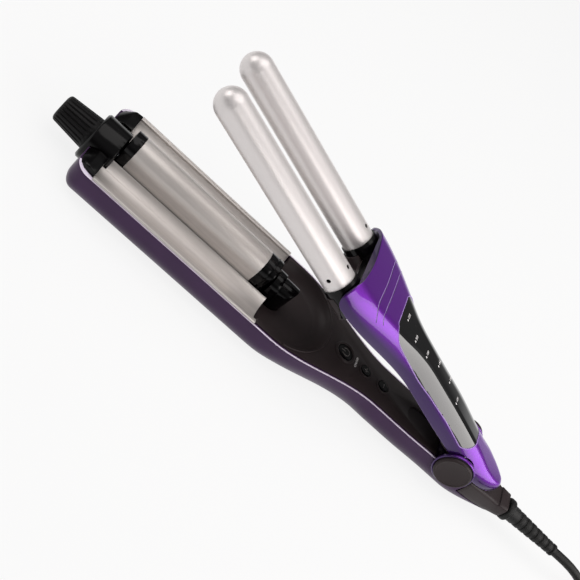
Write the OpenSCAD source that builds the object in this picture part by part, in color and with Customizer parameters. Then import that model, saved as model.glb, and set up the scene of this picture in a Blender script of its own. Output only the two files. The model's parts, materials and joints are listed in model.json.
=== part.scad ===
// Three-barrel hair waver with an adjustable middle barrel.
// Millimetres. Origin on the table, straight below the hinge axis.
// +X runs to the dial at the tip, +Z is up, +Y is the left side.

/* [Whole body] */
// Height of the hinge axis above the table
hinge_h = 25; // [24:0.5:28]
// Angle between the two arms when the spring has opened them
open_angle = 18; // [12:1:20]
// Half the width of the head, over the barrels
head_hw = 35; // [34:0.5:38]
// Half the width of the handle
handle_hw = 17; // [16.5:0.5:19]
// Where the handle starts to widen into the head
flare_start = 64; // [55:1:75]
// Where the head reaches its full width
flare_end = 142; // [136:1:146]
// Wall of the moulded shells
shell_wall = 2.2; // [1.8:0.1:2.6]

/* [Lower arm] */
// Length of the tip of the lower shell, past the troughs
tip_l = 12.4; // [10.4:0.1:16.4]
// Radius of the tip corners, seen from above
tip_corner_r = 9.5; // [7:0.5:12]
// Rim of the lower shell below the hinge axis
rim_drop = 3.2; // [2.5:0.1:4]
// Edge radius under the head
head_edge_r = 13.5; // [11:0.5:15]
// Edge radius under the handle
handle_edge_r = 15; // [13:0.5:15.5]
// Depth of the bowl in front of the troughs
bowl_depth = 7.7; // [7:0.1:8]
// Radius of the bowl
bowl_r = 31.5; // [31.2:0.1:32]

/* [Upper arm] */
// Front rim of the upper shell
hood_x = 147; // [145:0.5:148]
// Top of the upper shell over the handle
handle_top = 18.5; // [17.5:0.5:20]
// Top of the upper shell over the barrels
hood_top = 17.5; // [17:0.5:19]
// Length of the indicator window
window_l = 101; // [80:1:101]
// Half the width of the indicator window
window_hw = 15; // [12:0.1:15]
// Number of indicator lamps
lamp_n = 6; // [4:1:6]

/* [Barrels and troughs] */
// Radius of the two upper barrels
barrel_r = 9.5; // [9:0.1:9.6]
// Wall of the upper barrels
barrel_wall = 1.6; // [1.2:0.1:2.5]
// Length of an upper barrel from its collar to the centre of its dome
barrel_l = 114; // [100:1:118]
// Sideways distance of an upper barrel from the centre line
barrel_y = 20.1; // [19.9:0.1:20.6]
// Radius of the concave face of a trough
trough_r = 13.5; // [13:0.1:14]
// Thickness of the trough plates
plate_t = 1.5; // [1.2:0.1:1.8]
// Length of the troughs
trough_l = 118.6; // [110:0.1:119]
// Half the width of the middle barrel
mid_r = 9.7; // [9.2:0.1:9.8]
// Length of the front cap of the middle barrel
front_cap_l = 6; // [4:0.5:8]
// How far the dial lowers the middle barrel
mid_travel = 5; // [3:0.5:5.2]

/* [Dial] */
// Radius of the dial housing at the tip
dial_housing_r = 15.3; // [14.5:0.1:15.6]
// Radius of the dial knob at its base
knob_base_r = 10.9; // [9:0.1:12]
// Radius of the dial knob at its end
knob_end_r = 8.6; // [7.5:0.1:9]
// Length of the dial knob
knob_l = 21.8; // [18:0.1:26]
// Number of flutes round the dial knob
flute_n = 22; // [12:1:28]
// Radius of the dial shaft
dial_shaft_r = 2; // [1.8:0.1:2.2]

/* [Hinge] */
// Radius of the hinge pin
pin_r = 2.5; // [2:0.1:3]
// Radius of the hinge caps
hinge_cap_r = 11.9; // [11:0.1:12.2]
// Thickness of the hinge caps
hinge_cap_t = 4; // [3:0.5:5]

/* [Buttons] */
// Radius of the power button
power_r = 5.5; // [4.5:0.1:6]
// Radius of the two temperature buttons
temp_r = 3.7; // [3:0.1:4]
// Travel of every button
button_travel = 1; // [0.6:0.1:1.2]

/* [Cord] */
// Diameter of the power cord
cord_d = 6; // [5:0.5:7]
// Length of the strain relief
relief_l = 46; // [30:1:60]

/* [Fits] */
// Gap between pieces that are laid into each other
fit_gap = 0.2; // [0.15:0.05:0.3]
// Gap between pieces that move past each other
run_gap = 0.4; // [0.3:0.05:0.5]
// Radial play of a shaft in its bearing
bearing_gap = 0.05; // [0.02:0.01:0.1]

/* [Hidden] */
$fn = 64;

// Colours
plum = "#442f4b";
candy_purple = "#4b1784";
deck_black = "#3a3433";
gloss_black = "#17151a";
satin_metal = "#bdb6b6";
silver = "#d6d6d8";
steel = "#9a9da0";
board_green = "#1f5a3a";
ceramic = "#e2ded2";
rubber_black = "#1b1b1d";
brass = "#c8a24a";

// Stations along the arms
handle_rear = -8;
trough_x0 = 155;
trough_x1 = trough_x0 + trough_l;
tip_x = trough_x1 + tip_l;
tail_end = -50;
nose_end = -33;

// Heights in the hinge frame, where the hinge axis is zero
floor_z = -hinge_h;
rim_z = -rim_drop;
deck_z = rim_z + 0.7;
deck_t = 2.4;
bowl_z = deck_z - bowl_depth;
bowl_x = trough_x0 - 14;
trough_y = barrel_y + 0.9;
trough_z = 5;
barrel_h = 3.1;
mid_z = 4.4;
mid_foot_z = -8;
dial_z = -8.3;

// Self-cutting screws and the holes they go into
screw_r = 1.4;
screw_hole_r = screw_r + bearing_gap;

// A smooth step from 0 at a to 1 at b
function ease(x, a, b) = let (t = min(1, max(0, (x - a) / (b - a)))) t * t * (3 - 2 * t);
function mix(a, b, t) = a + (b - a) * t;

// Evenly spaced values from a to b
function steps(a, b, n) = [for (i = [0 : n]) a + (b - a) * i / n];

// Half the width of both arms in front of the hinge, and the waist at the hinge
function arm_hw(x) =
    mix(handle_hw, head_hw, ease(x, flare_start, flare_end)) - 1.1 * (1 - ease(x, 8, 40));

// One cross-section of a tub: upright sides, rounded bottom edges, open or closed on top
function tub_ring(x, hw, top, bottom, r, arc_n) = concat(
    [[x, hw, top]],
    [for (i = [0 : arc_n]) let (a = 90 * i / arc_n)
        [x, hw - r + r * cos(a), bottom + r - r * sin(a)]],
    [for (i = [0 : arc_n]) let (a = 90 - 90 * i / arc_n)
        [x, -hw + r - r * cos(a), bottom + r - r * sin(a)]],
    [[x, -hw, top]]
);

// The same for a hood: upright sides and rounded top edges
function hood_ring(x, hw, top, bottom, r, arc_n) =
    [for (p = tub_ring(x, hw, -bottom, -top, r, arc_n)) [p[0], -p[1], -p[2]]];

// A skin over a list of rings that all have the same number of points
module loft(rings) {
    count = len(rings[0]);
    last = len(rings) - 1;
    points = [for (ring = rings) for (p = ring) p];
    sides = [for (i = [0 : last - 1]) for (j = [0 : count - 1])
        let (a = i * count + j, b = i * count + (j + 1) % count)
        each [[a, b, b + count], [a, b + count, a + count]]];
    start_cap = [[for (j = [0 : count - 1]) count - 1 - j]];
    end_cap = [[for (j = [0 : count - 1]) last * count + j]];
    polyhedron(points, concat(start_cap, sides, end_cap), convexity = 8);
}

// The hinge frame and the frame of the raised upper arm
module lower() {
    translate([0, 0, hinge_h])
        children();
}

module upper() {
    translate([0, 0, hinge_h])
        rotate([0, -open_angle, 0])
            children();
}

// A flat profile of (y, z) drawn out along X
module along_x(x0, x1) {
    translate([x0, 0, 0])
        rotate([90, 0, 90])
            linear_extrude(x1 - x0)
                children();
}

// A rod along X or along Y
module rod_x(x0, x1, r, y = 0, z = 0) {
    translate([x0, y, z])
        rotate([0, 90, 0])
            cylinder(h = x1 - x0, r = r);
}

module rod_y(y0, y1, r, x = 0, z = 0) {
    translate([x, y0, z])
        rotate([-90, 0, 0])
            cylinder(h = y1 - y0, r = r);
}

// A box given by its lowest and highest corners
module span_box(lo, hi) {
    translate(lo)
        cube(hi - lo);
}

// Draws its children on both sides of the centre line
module both_sides() {
    children();
    mirror([0, 1, 0])
        children();
}

// The same for a flat profile
module both_halves() {
    children();
    mirror([1, 0])
        children();
}

// ---- Lower arm: shells ----

// Lower tub, shrunk by an inset on every side; its rim can be drawn up for cutting
function tub_hw(x) =
    x > tip_x - tip_corner_r
        ? head_hw - tip_corner_r + sqrt(max(0, pow(tip_corner_r, 2) - pow(x - tip_x + tip_corner_r, 2)))
        : x > handle_rear ? arm_hw(x) : (handle_hw - 1.1) - 8 * ease(-x, -handle_rear, -tail_end);
function tub_bottom(x) =
    floor_z + 5 * pow(max(0, x - tip_x + tip_corner_r) / tip_corner_r, 3)
        + 9.5 * pow(max(0, handle_rear - x) / (handle_rear - tail_end), 1.4);
function tub_edge_r(x) =
    mix(handle_edge_r, head_edge_r, ease(x, 125, 150)) + 3 * sin(180 * min(1, max(0, (x - 62) / 80)))
        - 4 * ease(x, tip_x - tip_corner_r, tip_x) - 8 * ease(-x, -handle_rear, -tail_end);
function tub_rings(xs, inset, top_z, arc_n) = [
    for (x = xs) tub_ring(x, tub_hw(x) - inset, top_z, tub_bottom(x) + inset,
        max(2, tub_edge_r(x) - inset), arc_n)
];
tub_xs = concat(
    steps(-46, handle_rear, 4), [20, 45], steps(62, 148, 12), [210],
    [for (a = [0 : 15 : 90]) tip_x - tip_corner_r * (1 - sin(a))]
);

module lower_shell() {
    inner_xs = [for (x = tub_xs) if (x < tip_x - shell_wall) x];
    color(plum)
        lower() {
            difference() {
                loft(tub_rings(tub_xs, 0, rim_z, 7));
                loft(tub_rings(concat([-48], inner_xs, [tip_x - shell_wall]), shell_wall, rim_z + 6, 7));
                on_tail_plane(0)
                    span_box([-50, -30, 0], [0, 30, 30]);
                dial_mouth();
                screw_wells();
                both_sides()
                    rod_y(handle_hw - 4.5, handle_hw + 3, hinge_cap_r + run_gap);
            }
            both_sides()
                hinge_cheek();
        }
}

// The cheek that carries the hinge pin, with its foot on the tub wall
module hinge_cheek() {
    cheek_in = handle_hw - 1.1 - shell_wall - 0.8;
    difference() {
        union() {
            rod_y(cheek_in, handle_hw - 1.1, hinge_cap_r - 0.6);
            span_box([-9, cheek_in, floor_z + 8], [9, cheek_in + 1.6, -4]);
        }
        rod_y(cheek_in - 1, handle_hw, pin_r + bearing_gap);
    }
}

// The opening in the tip wall that the dial housing passes through
module dial_mouth() {
    rod_x(dial_x0 - 0.5, tip_x + 4, dial_housing_r + fit_gap, z = dial_z);
    span_box([tip_x - 5, -dial_housing_r - fit_gap, dial_z], [tip_x + 4, dial_housing_r + fit_gap, 4]);
}

// The leaning plane where the tail housing sits on the lower shell, behind the hinge
module on_tail_plane(shift) {
    tail_lean = 8;
    translate([-14, 0, -12 + shift])
        rotate([0, -tail_lean, 0])
            children();
}

// Where the shell screws stand (x, y) and how long they are
screw_front_x = trough_x1 - 15.6;
screw_rear_x = trough_x0 + 21;
screw_y = head_hw - 12;
deck_screw_x = 52;
tail_screw_x = -24;
screw_places = [
    [screw_front_x, screw_y, 7], [screw_front_x, -screw_y, 7],
    [screw_rear_x, screw_y, 7], [screw_rear_x, -screw_y, 7],
    [deck_screw_x, 0, 7], [tail_screw_x, 0, 12]
];
screw_sink = 1.2;

module screw_wells() {
    for (p = screw_places)
        translate([p[0], p[1], tub_bottom(p[0]) - 1]) {
            cylinder(h = screw_sink + 1, r = 3.1);
            cylinder(h = 6, r = screw_r + 0.3);
        }
}

module shell_screws() {
    color(steel)
        lower()
            for (p = screw_places)
                translate([p[0], p[1], tub_bottom(p[0]) + screw_sink]) {
                    difference() {
                        translate([0, 0, -1])
                            cylinder(h = 1, r = 2.7);
                        translate([0, 0, -1.5])
                            cylinder(h = 1, r = 1.1);
                    }
                    cylinder(h = p[2], r = screw_r);
                }
}

// Solid inside of the tub between two stations, for pieces that fill it
module tub_core(x0, x1, inset, top_z, count) {
    loft(tub_rings(steps(x0, x1, count), shell_wall + inset, top_z, 6));
}

// ---- Lower arm: deck with its bowl and button bores ----

power_x = 95.7;
plus_x = 78.5;
minus_x = 63.8;
deck_front = 13.5;
board_z = -13;

module deck_plan(inset) {
    left = [for (x = concat(steps(deck_front, 60, 3), steps(66, 142, 10), [trough_x0 - 1]))
        [x, arm_hw(x) - shell_wall - inset]];
    right = [for (i = [len(left) - 1 : -1 : 0]) [left[i][0], -left[i][1]]];
    polygon(concat(left, right));
}

module bowl_profile(r, lip) {
    wall_r = 9;
    polygon(concat(
        [[0, bowl_z], [r - wall_r, bowl_z]],
        [for (a = [0 : 10 : 60])
            [r - wall_r + 1.15 * wall_r * sin(a), bowl_z + (1 - cos(a)) * 2 * (-bowl_z + deck_z)]],
        [[r, lip], [0, lip]]
    ));
}

module control_deck() {
    color(deck_black)
        lower()
            difference() {
                union() {
                    translate([0, 0, deck_z - deck_t])
                        linear_extrude(deck_t)
                            deck_plan(fit_gap);
                    intersection() {
                        translate([bowl_x, 0, bowl_z - 2])
                            cylinder(h = deck_z - bowl_z + 1, r = bowl_r + 2);
                        tub_core(bowl_x - bowl_r - 3, trough_x0 - 1, fit_gap, deck_z - 0.1, 6);
                    }
                    button_ring(power_x, power_r, 2);
                    button_ring(plus_x, temp_r, 1.2);
                    button_ring(minus_x, temp_r, 1.2);
                    for (x = [minus_x - 23.8, power_x + 10.3], y = [-9, 9])
                        translate([x, y, board_z])
                            cylinder(h = deck_z - board_z - 1, r = 2);
                    translate([deck_screw_x, 0, floor_z + shell_wall + fit_gap])
                        cylinder(h = deck_z - floor_z - 4, r = 3.5);
                }
                translate([bowl_x, 0, 0])
                    rotate_extrude()
                        bowl_profile(bowl_r, deck_z + 1);
                for (b = [[power_x, power_r], [plus_x, temp_r], [minus_x, temp_r]])
                    translate([b[0], 0, board_z])
                        cylinder(h = 20, r = b[1] + bearing_gap * 3);
                translate([deck_screw_x, 0, floor_z])
                    cylinder(h = 9, r = screw_hole_r);
                oval_pocket();
                rear_guide_foot(fit_gap);
                span_box([trough_x0 - 0.9, -40, -30], [trough_x0 + 9, 40, 5]);
            }
}

// Shallow oval in front of the hinge
module oval_pocket() {
    translate([0, 0, deck_z - 1.2]) {
        translate([34, 0, 0])
            cylinder(h = 3, r = 7.4);
        translate([24, 0, 0])
            cylinder(h = 3, r = 7.8);
        translate([24, -7.5, 0])
            cube([10, 15, 3]);
    }
}

module button_ring(x, r, width) {
    translate([x, 0, deck_z - 0.2])
        rotate_extrude()
            translate([r + bearing_gap, 0]) {
                square([width, 0.6]);
                translate([width / 2, 0.6])
                    circle(r = width / 2 - 0.1, $fn = 24);
            }
}

// A cap with a crowned top, a stem and a foot under the deck that stops it from falling out
module button(x, r) {
    color(gloss_black)
        lower()
            translate([x, 0, 0]) {
                intersection() {
                    translate([0, 0, deck_z - deck_t - 0.4])
                        cylinder(h = deck_t + 1.5, r = r);
                    translate([0, 0, deck_z + 1.1 - 30])
                        sphere(r = 30, $fn = 96);
                }
                translate([0, 0, deck_z - deck_t - 1.4])
                    cylinder(h = 1, r = r + 0.8);
                translate([0, 0, board_z + 3.1 + button_travel])
                    cylinder(h = deck_z - deck_t - 1.4 - board_z - 3.1 - button_travel, r = 1.6);
            }
}

module power_button() { button(power_x, power_r); }
module plus_button() { button(plus_x, temp_r); }
module minus_button() { button(minus_x, temp_r); }

module control_board() {
    color(board_green)
        lower() {
            difference() {
                span_box([minus_x - 27.8, -11.5, board_z - 1.6], [power_x + 14.3, 11.5, board_z]);
                translate([deck_screw_x, 0, board_z - 2])
                    cylinder(h = 3, r = 3.8);
            }
            for (x = [43.5, 56.4])
                span_box([x, -3, board_z], [x + 3, 4, board_z + 2]);
            rod_x(88, 101, 3, y = -7.5, z = board_z + 3);
        }
}

module tact_switches() {
    color(steel)
        lower()
            for (x = [power_x, plus_x, minus_x]) {
                span_box([x - 3, -3, board_z], [x + 3, 3, board_z + 2]);
                translate([x, 0, board_z + 2])
                    cylinder(h = 1, r = 1.5);
            }
}

// ---- Lower arm: troughs, their carrier and caps ----

module trough_arc(r0, r1) {
    translate([trough_y, trough_z])
        difference() {
            circle(r = r1, $fn = 96);
            circle(r = r0, $fn = 96);
        }
}

trough_in = mid_r + 0.6;
trough_out = trough_y + 12.3;

module trough_profile() {
    intersection() {
        trough_arc(trough_r, trough_r + plate_t);
        translate([trough_in, -14])
            square([head_hw - shell_wall - 0.3 - trough_in, 13.6]);
    }
    translate([trough_out - 1.6, rim_z + 0.2])
        square([head_hw - 1.1 - trough_out + 1.6, 1.3]);
    translate([head_hw - 1.1, rim_z + 1.1])
        circle(r = 0.9, $fn = 24);
}

module trough() {
    color(satin_metal)
        difference() {
            along_x(trough_x0, trough_x1)
                trough_profile();
            dial_housing_space();
        }
}

module left_trough() {
    lower()
        trough();
}

module right_trough() {
    lower()
        mirror([0, 1, 0])
            trough();
}

// Inside of the tub under the troughs, as a flat profile
module head_profile(inset) {
    r = head_edge_r - inset;
    difference() {
        union() {
            both_halves()
                translate([head_hw - head_edge_r, floor_z + head_edge_r])
                    circle(r = r, $fn = 96);
            translate([-head_hw + head_edge_r, floor_z + inset])
                square([2 * (head_hw - head_edge_r), -floor_z]);
            translate([-head_hw + inset, floor_z + head_edge_r])
                square([2 * (head_hw - inset), -floor_z - head_edge_r]);
        }
        translate([-head_hw, rim_z - 0.3])
            square([2 * head_hw, 40]);
    }
}

// Bulkheads and rails under the troughs, as flat profiles
module carrier_profile() {
    difference() {
        head_profile(shell_wall + fit_gap);
        both_halves() {
            translate([trough_y, trough_z])
                circle(r = trough_r + plate_t + fit_gap, $fn = 96);
            translate([trough_y - 5.4, -14.4])
                square([10.8, 12]);
        }
        translate([-mid_r - 1, -17.6])
            square([2 * mid_r + 2, 20]);
    }
}

module rail_profile() {
    rail_t = 2.4;
    intersection() {
        carrier_profile();
        both_halves()
            translate([head_hw - 8, -40])
                square([rail_t, 50]);
    }
}

// The frame that holds the troughs in the tub
module trough_carrier() {
    carrier_x0 = trough_x0 - 0.6;
    bulkhead_t = 2.2;
    bulkhead_x = [
        carrier_x0, screw_rear_x - bulkhead_t / 2, fuse_x - fuse_room, fuse_x + fuse_room - 7,
        screw_front_x - bulkhead_t / 2
    ];
    post_h = 7.5;
    color(deck_black)
        lower()
            difference() {
                union() {
                    along_x(carrier_x0, trough_x1 - 6)
                        rail_profile();
                    for (x = bulkhead_x)
                        along_x(x, x + bulkhead_t)
                            carrier_profile();
                    intersection() {
                        for (p = screw_places)
                            if (p[0] > trough_x0)
                                translate([p[0], p[1], floor_z])
                                    cylinder(h = post_h + shell_wall, r = 4);
                        along_x(trough_x0, trough_x1)
                            head_profile(shell_wall + fit_gap);
                    }
                }
                for (p = screw_places)
                    translate([p[0], p[1], floor_z - 1])
                        cylinder(h = post_h + shell_wall + 2, r = screw_hole_r);
            }
}

module dial_housing_space() {
    rod_x(dial_x0 - 0.4, tip_x + 6, dial_housing_r + fit_gap, z = dial_z);
    span_box([dial_x0 - 0.4, -dial_housing_r - fit_gap, dial_z],
        [tip_x + 6, dial_housing_r + fit_gap, 4]);
}

// Middle of the thermal fuse, and the room it has between two bulkheads
fuse_x = trough_x0 + 69;
fuse_room = 19;
heater_top = trough_z - trough_r - plate_t - 0.1;

module trough_heaters() {
    color(ceramic)
        lower()
            both_sides() {
                span_box([trough_x0 + 10, trough_y - 5, heater_top - 2.4],
                    [trough_x1 - 10, trough_y + 5, heater_top]);
                span_box([trough_x0 + 14, trough_y - 4, heater_top - 3.4],
                    [trough_x1 - 14, trough_y + 4, heater_top - 2.4]);
            }
}

module thermal_fuse() {
    fuse_r = 1.8;
    color(ceramic)
        lower()
            translate([0, trough_y, heater_top - 3.4 - fuse_r - 0.1]) {
                rod_x(fuse_x - 6, fuse_x + 6, fuse_r);
                rod_x(fuse_x - 10, fuse_x + 10, 0.5);
            }
}

// Block with a bevelled nose that closes the tip end of a trough and lies on the rim of the tub
module tip_cap() {
    y0 = dial_housing_r + 0.6;
    x0 = trough_x1 + 0.2;
    y1 = head_hw - 2.8;
    top_z = 0.3;
    foot = [
        [x0, y0], [tip_x - 0.4, y0], [tip_x - 0.4, y1 - 6.9], [tip_x - 1.3, y1 - 3.4],
        [tip_x - 2.7, y1 - 1], [tip_x - 6.5, y1 - 0.8], [x0, y1]
    ];
    top = [[x0, y0], [tip_x - 6.2, y0], [tip_x - 6.2, y1 - 5], [tip_x - 8.4, y1 - 1], [x0, y1 - 0.2]];
    color(gloss_black) {
        hull() {
            translate([0, 0, rim_z + 0.05])
                linear_extrude(0.2)
                    polygon(foot);
            translate([0, 0, top_z - 0.2])
                linear_extrude(0.2)
                    polygon(top);
        }
        span_box([x0 + 0.4, y0 + 0.4, dial_z - 1], [tip_x - shell_wall - 0.3, y1 - 7.2, rim_z + 0.2]);
    }
}

module left_tip_cap() {
    lower()
        tip_cap();
}

module right_tip_cap() {
    lower()
        mirror([0, 1, 0])
            tip_cap();
}

// ---- Dial, shaft, cams and the middle barrel ----

dial_x0 = trough_x1 - 2.1;
dial_x1 = tip_x + 3.2;
knob_x0 = dial_x1 + 0.5;
mid_x0 = trough_x0 + 15;
front_cap_x1 = dial_x0 - 0.5;
mid_x1 = front_cap_x1 - front_cap_l;
rear_cap_x0 = trough_x0 + 6;
cam_t = 5;
cam_max = 7.8;
follower_r = 1.2;
follower_z = dial_z + cam_max + follower_r + run_gap;

module dial_housing() {
    color(gloss_black)
        lower()
            difference() {
                intersection() {
                    translate([dial_x0, 0, dial_z])
                        rotate([0, 90, 0])
                            rotate_extrude($fn = 96)
                                polygon([
                                    [0, 0], [dial_housing_r - 1, 0], [dial_housing_r, 1],
                                    [dial_housing_r, dial_x1 - dial_x0 - 1.2],
                                    [dial_housing_r - 1.2, dial_x1 - dial_x0],
                                    [knob_base_r + 0.6, dial_x1 - dial_x0],
                                    [knob_base_r + 0.6, dial_x1 - dial_x0 - 1],
                                    [0, dial_x1 - dial_x0 - 1]
                                ]);
                    span_box([dial_x0 - 1, -20, floor_z + shell_wall + fit_gap - 0.6],
                        [dial_x1 + 1, 20, 20]);
                }
                rod_x(dial_x0 - 1, dial_x1 + 1, dial_shaft_r + bearing_gap, z = dial_z);
                rod_x(dial_x0 + 3, dial_x1 - 5, dial_housing_r - 4, z = dial_z);
            }
}

module dial_knob() {
    grip_l = knob_l - 1.8;
    lean = atan((knob_base_r - knob_end_r) / knob_l);
    color(rubber_black)
        lower()
            translate([knob_x0, 0, dial_z])
                rotate([0, 90, 0])
                    difference() {
                        rotate_extrude($fn = 96)
                            polygon(concat(
                                [[0, -0.9], [knob_base_r - 0.9, -0.9], [knob_base_r, 0.2],
                                    [knob_base_r, 1.6], [knob_base_r - 0.5, 2.2],
                                    [knob_end_r, grip_l]],
                                [for (a = [15 : 15 : 90])
                                    [knob_end_r - 1.4 + 1.4 * cos(a), grip_l + 1.4 * sin(a)]],
                                [[knob_end_r - 2.2, grip_l + 0.9], [0, knob_l]]
                            ));
                        for (i = [0 : flute_n - 1])
                            rotate([0, 0, 360 * i / flute_n])
                                translate([knob_base_r + 0.15, 0, 2.6])
                                    rotate([0, -lean, 0])
                                        cylinder(h = knob_l, r = 0.85, $fn = 16);
                        translate([0, 0, -2])
                            cylinder(h = 14, r = dial_shaft_r + 0.02);
                    }
}

module dial_shaft() {
    color(steel)
        lower()
            rod_x(rear_guide_x + 6, knob_x0 + 11.5, dial_shaft_r, z = dial_z);
}

// Heart-shaped plate cam: its radius falls evenly from the top to the bottom
module cam(x0) {
    half = steps(0, 180, 20);
    edge = [for (a = half) [cam_max - mid_travel * a / 180, a]];
    color(brass)
        lower()
            along_x(x0, x0 + cam_t)
                translate([0, dial_z])
                    difference() {
                        polygon(concat(
                            [for (e = edge) [e[0] * sin(e[1]), e[0] * cos(e[1])]],
                            [for (i = [len(edge) - 2 : -1 : 1])
                                [-edge[i][0] * sin(edge[i][1]), edge[i][0] * cos(edge[i][1])]]
                        ));
                        circle(r = dial_shaft_r + 0.02);
                    }
}

module front_cam() { cam(mid_x1 - 10); }
module rear_cam() { cam(mid_x0 + 3); }

// Upright arch: round top over straight sides
module arch(r, centre_z, foot_z) {
    translate([0, centre_z])
        circle(r = r, $fn = 96);
    translate([-r, foot_z])
        square([2 * r, centre_z - foot_z]);
}

module middle_barrel() {
    inner_r = mid_r - plate_t;
    color(satin_metal)
        lower()
            along_x(mid_x0, mid_x1)
                difference() {
                    arch(mid_r, mid_z, mid_foot_z);
                    arch(inner_r, mid_z, mid_foot_z - 1);
                }
}

// Slot that lets a cap pass the shaft as it goes down
module shaft_slot(x0, x1) {
    slot_r = dial_shaft_r + run_gap;
    along_x(x0, x1) {
        translate([0, dial_z + mid_travel])
            circle(r = slot_r);
        translate([-slot_r, mid_foot_z - 5])
            square([2 * slot_r, dial_z + mid_travel - mid_foot_z + 5]);
    }
}

module front_barrel_cap() {
    color(gloss_black)
        lower()
            difference() {
                union() {
                    along_x(mid_x1, front_cap_x1)
                        arch(mid_r, mid_z, mid_foot_z);
                    along_x(mid_x1 - 4, mid_x1)
                        difference() {
                            arch(mid_r - plate_t - fit_gap, mid_z, mid_foot_z);
                            arch(mid_r - plate_t - 1.8, mid_z, mid_foot_z - 1);
                        }
                    rod_x(mid_x1 - 11, mid_x1 + 0.5, follower_r, z = follower_z);
                }
                shaft_slot(mid_x1 - 12, front_cap_x1 + 1);
            }
}

module rear_barrel_cap() {
    color(gloss_black)
        lower()
            difference() {
                union() {
                    intersection() {
                        along_x(rear_cap_x0, mid_x0)
                            arch(mid_r, mid_z, mid_foot_z);
                        translate([0, 0, -20])
                            linear_extrude(40)
                                union() {
                                    translate([rear_cap_x0 + 5, -20])
                                        square([10, 40]);
                                    translate([rear_cap_x0 + 5, 0])
                                        intersection() {
                                            translate([1.6, 0])
                                                circle(r = mid_r + 1, $fn = 96);
                                            translate([-5, -mid_r])
                                                square([6, 2 * mid_r]);
                                        }
                                }
                    }
                    along_x(mid_x0, mid_x0 + 2.4)
                        difference() {
                            arch(mid_r - plate_t - fit_gap, mid_z, mid_foot_z);
                            arch(mid_r - plate_t - 1.8, mid_z, mid_foot_z - 1);
                        }
                    rod_x(mid_x0 - 0.5, mid_x0 + 9, follower_r, z = follower_z);
                }
                along_x(rear_cap_x0 + 3, rear_cap_x0 + 4)
                    difference() {
                        arch(mid_r + 1, mid_z, mid_foot_z - 1);
                        arch(mid_r - 0.8, mid_z, mid_foot_z - 1);
                    }
                shaft_slot(rear_cap_x0 - 1, mid_x0 + 10);
                guide_rail(run_gap / 2, mid_travel);
            }
}

module middle_heater() {
    color(ceramic)
        lower()
            span_box([mid_x0 + 12, -5.6, mid_z + 2.4], [mid_x1 - 12, 5.6, mid_z + 5.6]);
}

// The rear guide: where it starts and the radii of its low step, neck and high step
rear_guide_x = bowl_x + 1.6;
guide_low_r = 7.8;
guide_neck_r = 7.2;
guide_high_r = 8.6;

// The rail on the guide that the rear cap slides along
module guide_rail(grow, travel) {
    span_box([rear_cap_x0 - 2.1, -2 - grow, bowl_z],
        [rear_cap_x0 + 1.2 + grow, 2 + grow, 5 + grow + travel]);
}

// The low step from above: a round end that runs on straight
module guide_low_plan(grow) {
    translate([rear_guide_x + guide_low_r, 0])
        circle(r = guide_low_r + grow);
    translate([rear_guide_x + guide_low_r, -guide_low_r - grow])
        square([9, 2 * (guide_low_r + grow)]);
}

module rear_guide_foot(grow) {
    translate([0, 0, bowl_z - 1])
        linear_extrude(4) {
            guide_low_plan(grow);
            translate([rear_guide_x + 11.2 - grow, -guide_high_r - grow])
                square([6, 2 * (guide_high_r + grow)]);
        }
}

// Two rounded steps that carry the shaft and guide the middle barrel
module rear_guide() {
    color(gloss_black)
        lower()
            difference() {
                union() {
                    intersection() {
                        along_x(rear_guide_x, rear_guide_x + 9.9)
                            arch(guide_low_r, 0.2, bowl_z - 1);
                        translate([0, 0, bowl_z - 1])
                            linear_extrude(30)
                                guide_low_plan(0);
                    }
                    along_x(rear_guide_x + 9.5, rear_guide_x + 11.5)
                        arch(guide_neck_r, 0.6, bowl_z - 1);
                    along_x(rear_guide_x + 11.2, rear_cap_x0 - 2)
                        arch(guide_high_r, 0.9, bowl_z - 1);
                    guide_rail(0, 0);
                }
                rod_x(rear_guide_x + 5.9, mid_x0, dial_shaft_r + bearing_gap, z = dial_z);
            }
}

// ---- Hinge ----

cap_y0 = handle_hw - 1;

module hinge_pin() {
    color(steel)
        lower()
            rod_y(-cap_y0 - 1.5, cap_y0 + 1.5, pin_r);
}

module hinge_cap() {
    color(deck_black)
        difference() {
            translate([0, cap_y0, 0])
                rotate([-90, 0, 0])
                    rotate_extrude($fn = 96)
                        polygon([
                            [0, 0], [hinge_cap_r - 0.4, 0], [hinge_cap_r, 0.4],
                            [hinge_cap_r, hinge_cap_t - 0.8], [hinge_cap_r - 0.8, hinge_cap_t],
                            [hinge_cap_r - 1.6, hinge_cap_t], [hinge_cap_r - 1.9, hinge_cap_t - 0.35],
                            [0, hinge_cap_t - 0.35]
                        ]);
            rod_y(cap_y0 - 1, cap_y0 + 1.6, pin_r + 0.02);
        }
}

module left_hinge_cap() {
    lower()
        hinge_cap();
}

module right_hinge_cap() {
    lower()
        mirror([0, 1, 0])
            hinge_cap();
}

// A torsion spring on the pin: close coils and two legs
module return_spring() {
    wire_r = 0.9;
    coil_r = pin_r + wire_r + 0.15;
    turns = 5;
    color(steel)
        lower() {
            for (i = [0 : turns - 1])
                translate([0, -4 + 2 * i, 0])
                    rotate([-90, 0, 0])
                        rotate_extrude()
                            translate([coil_r, 0])
                                circle(r = wire_r + 0.11, $fn = 24);
            rod_x(0, 11.5, wire_r, y = -4, z = -coil_r);
        }
}

module hinge_bushes() {
    color(brass)
        upper()
            both_sides()
                difference() {
                    rod_y(lug_y0, lug_y1, bush_r);
                    rod_y(lug_y0 - 1, lug_y1 + 1, pin_r + bearing_gap);
                }
}

// ---- Tail, strain relief and cord ----

relief_z = -8;
relief_x0 = tail_end - 1;

// The top of the tail stays just under the rim of the raised upper arm
function tail_top(x) = x < -43 ? -2.3 : 0.9 + (x + 14) * 0.146;

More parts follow.
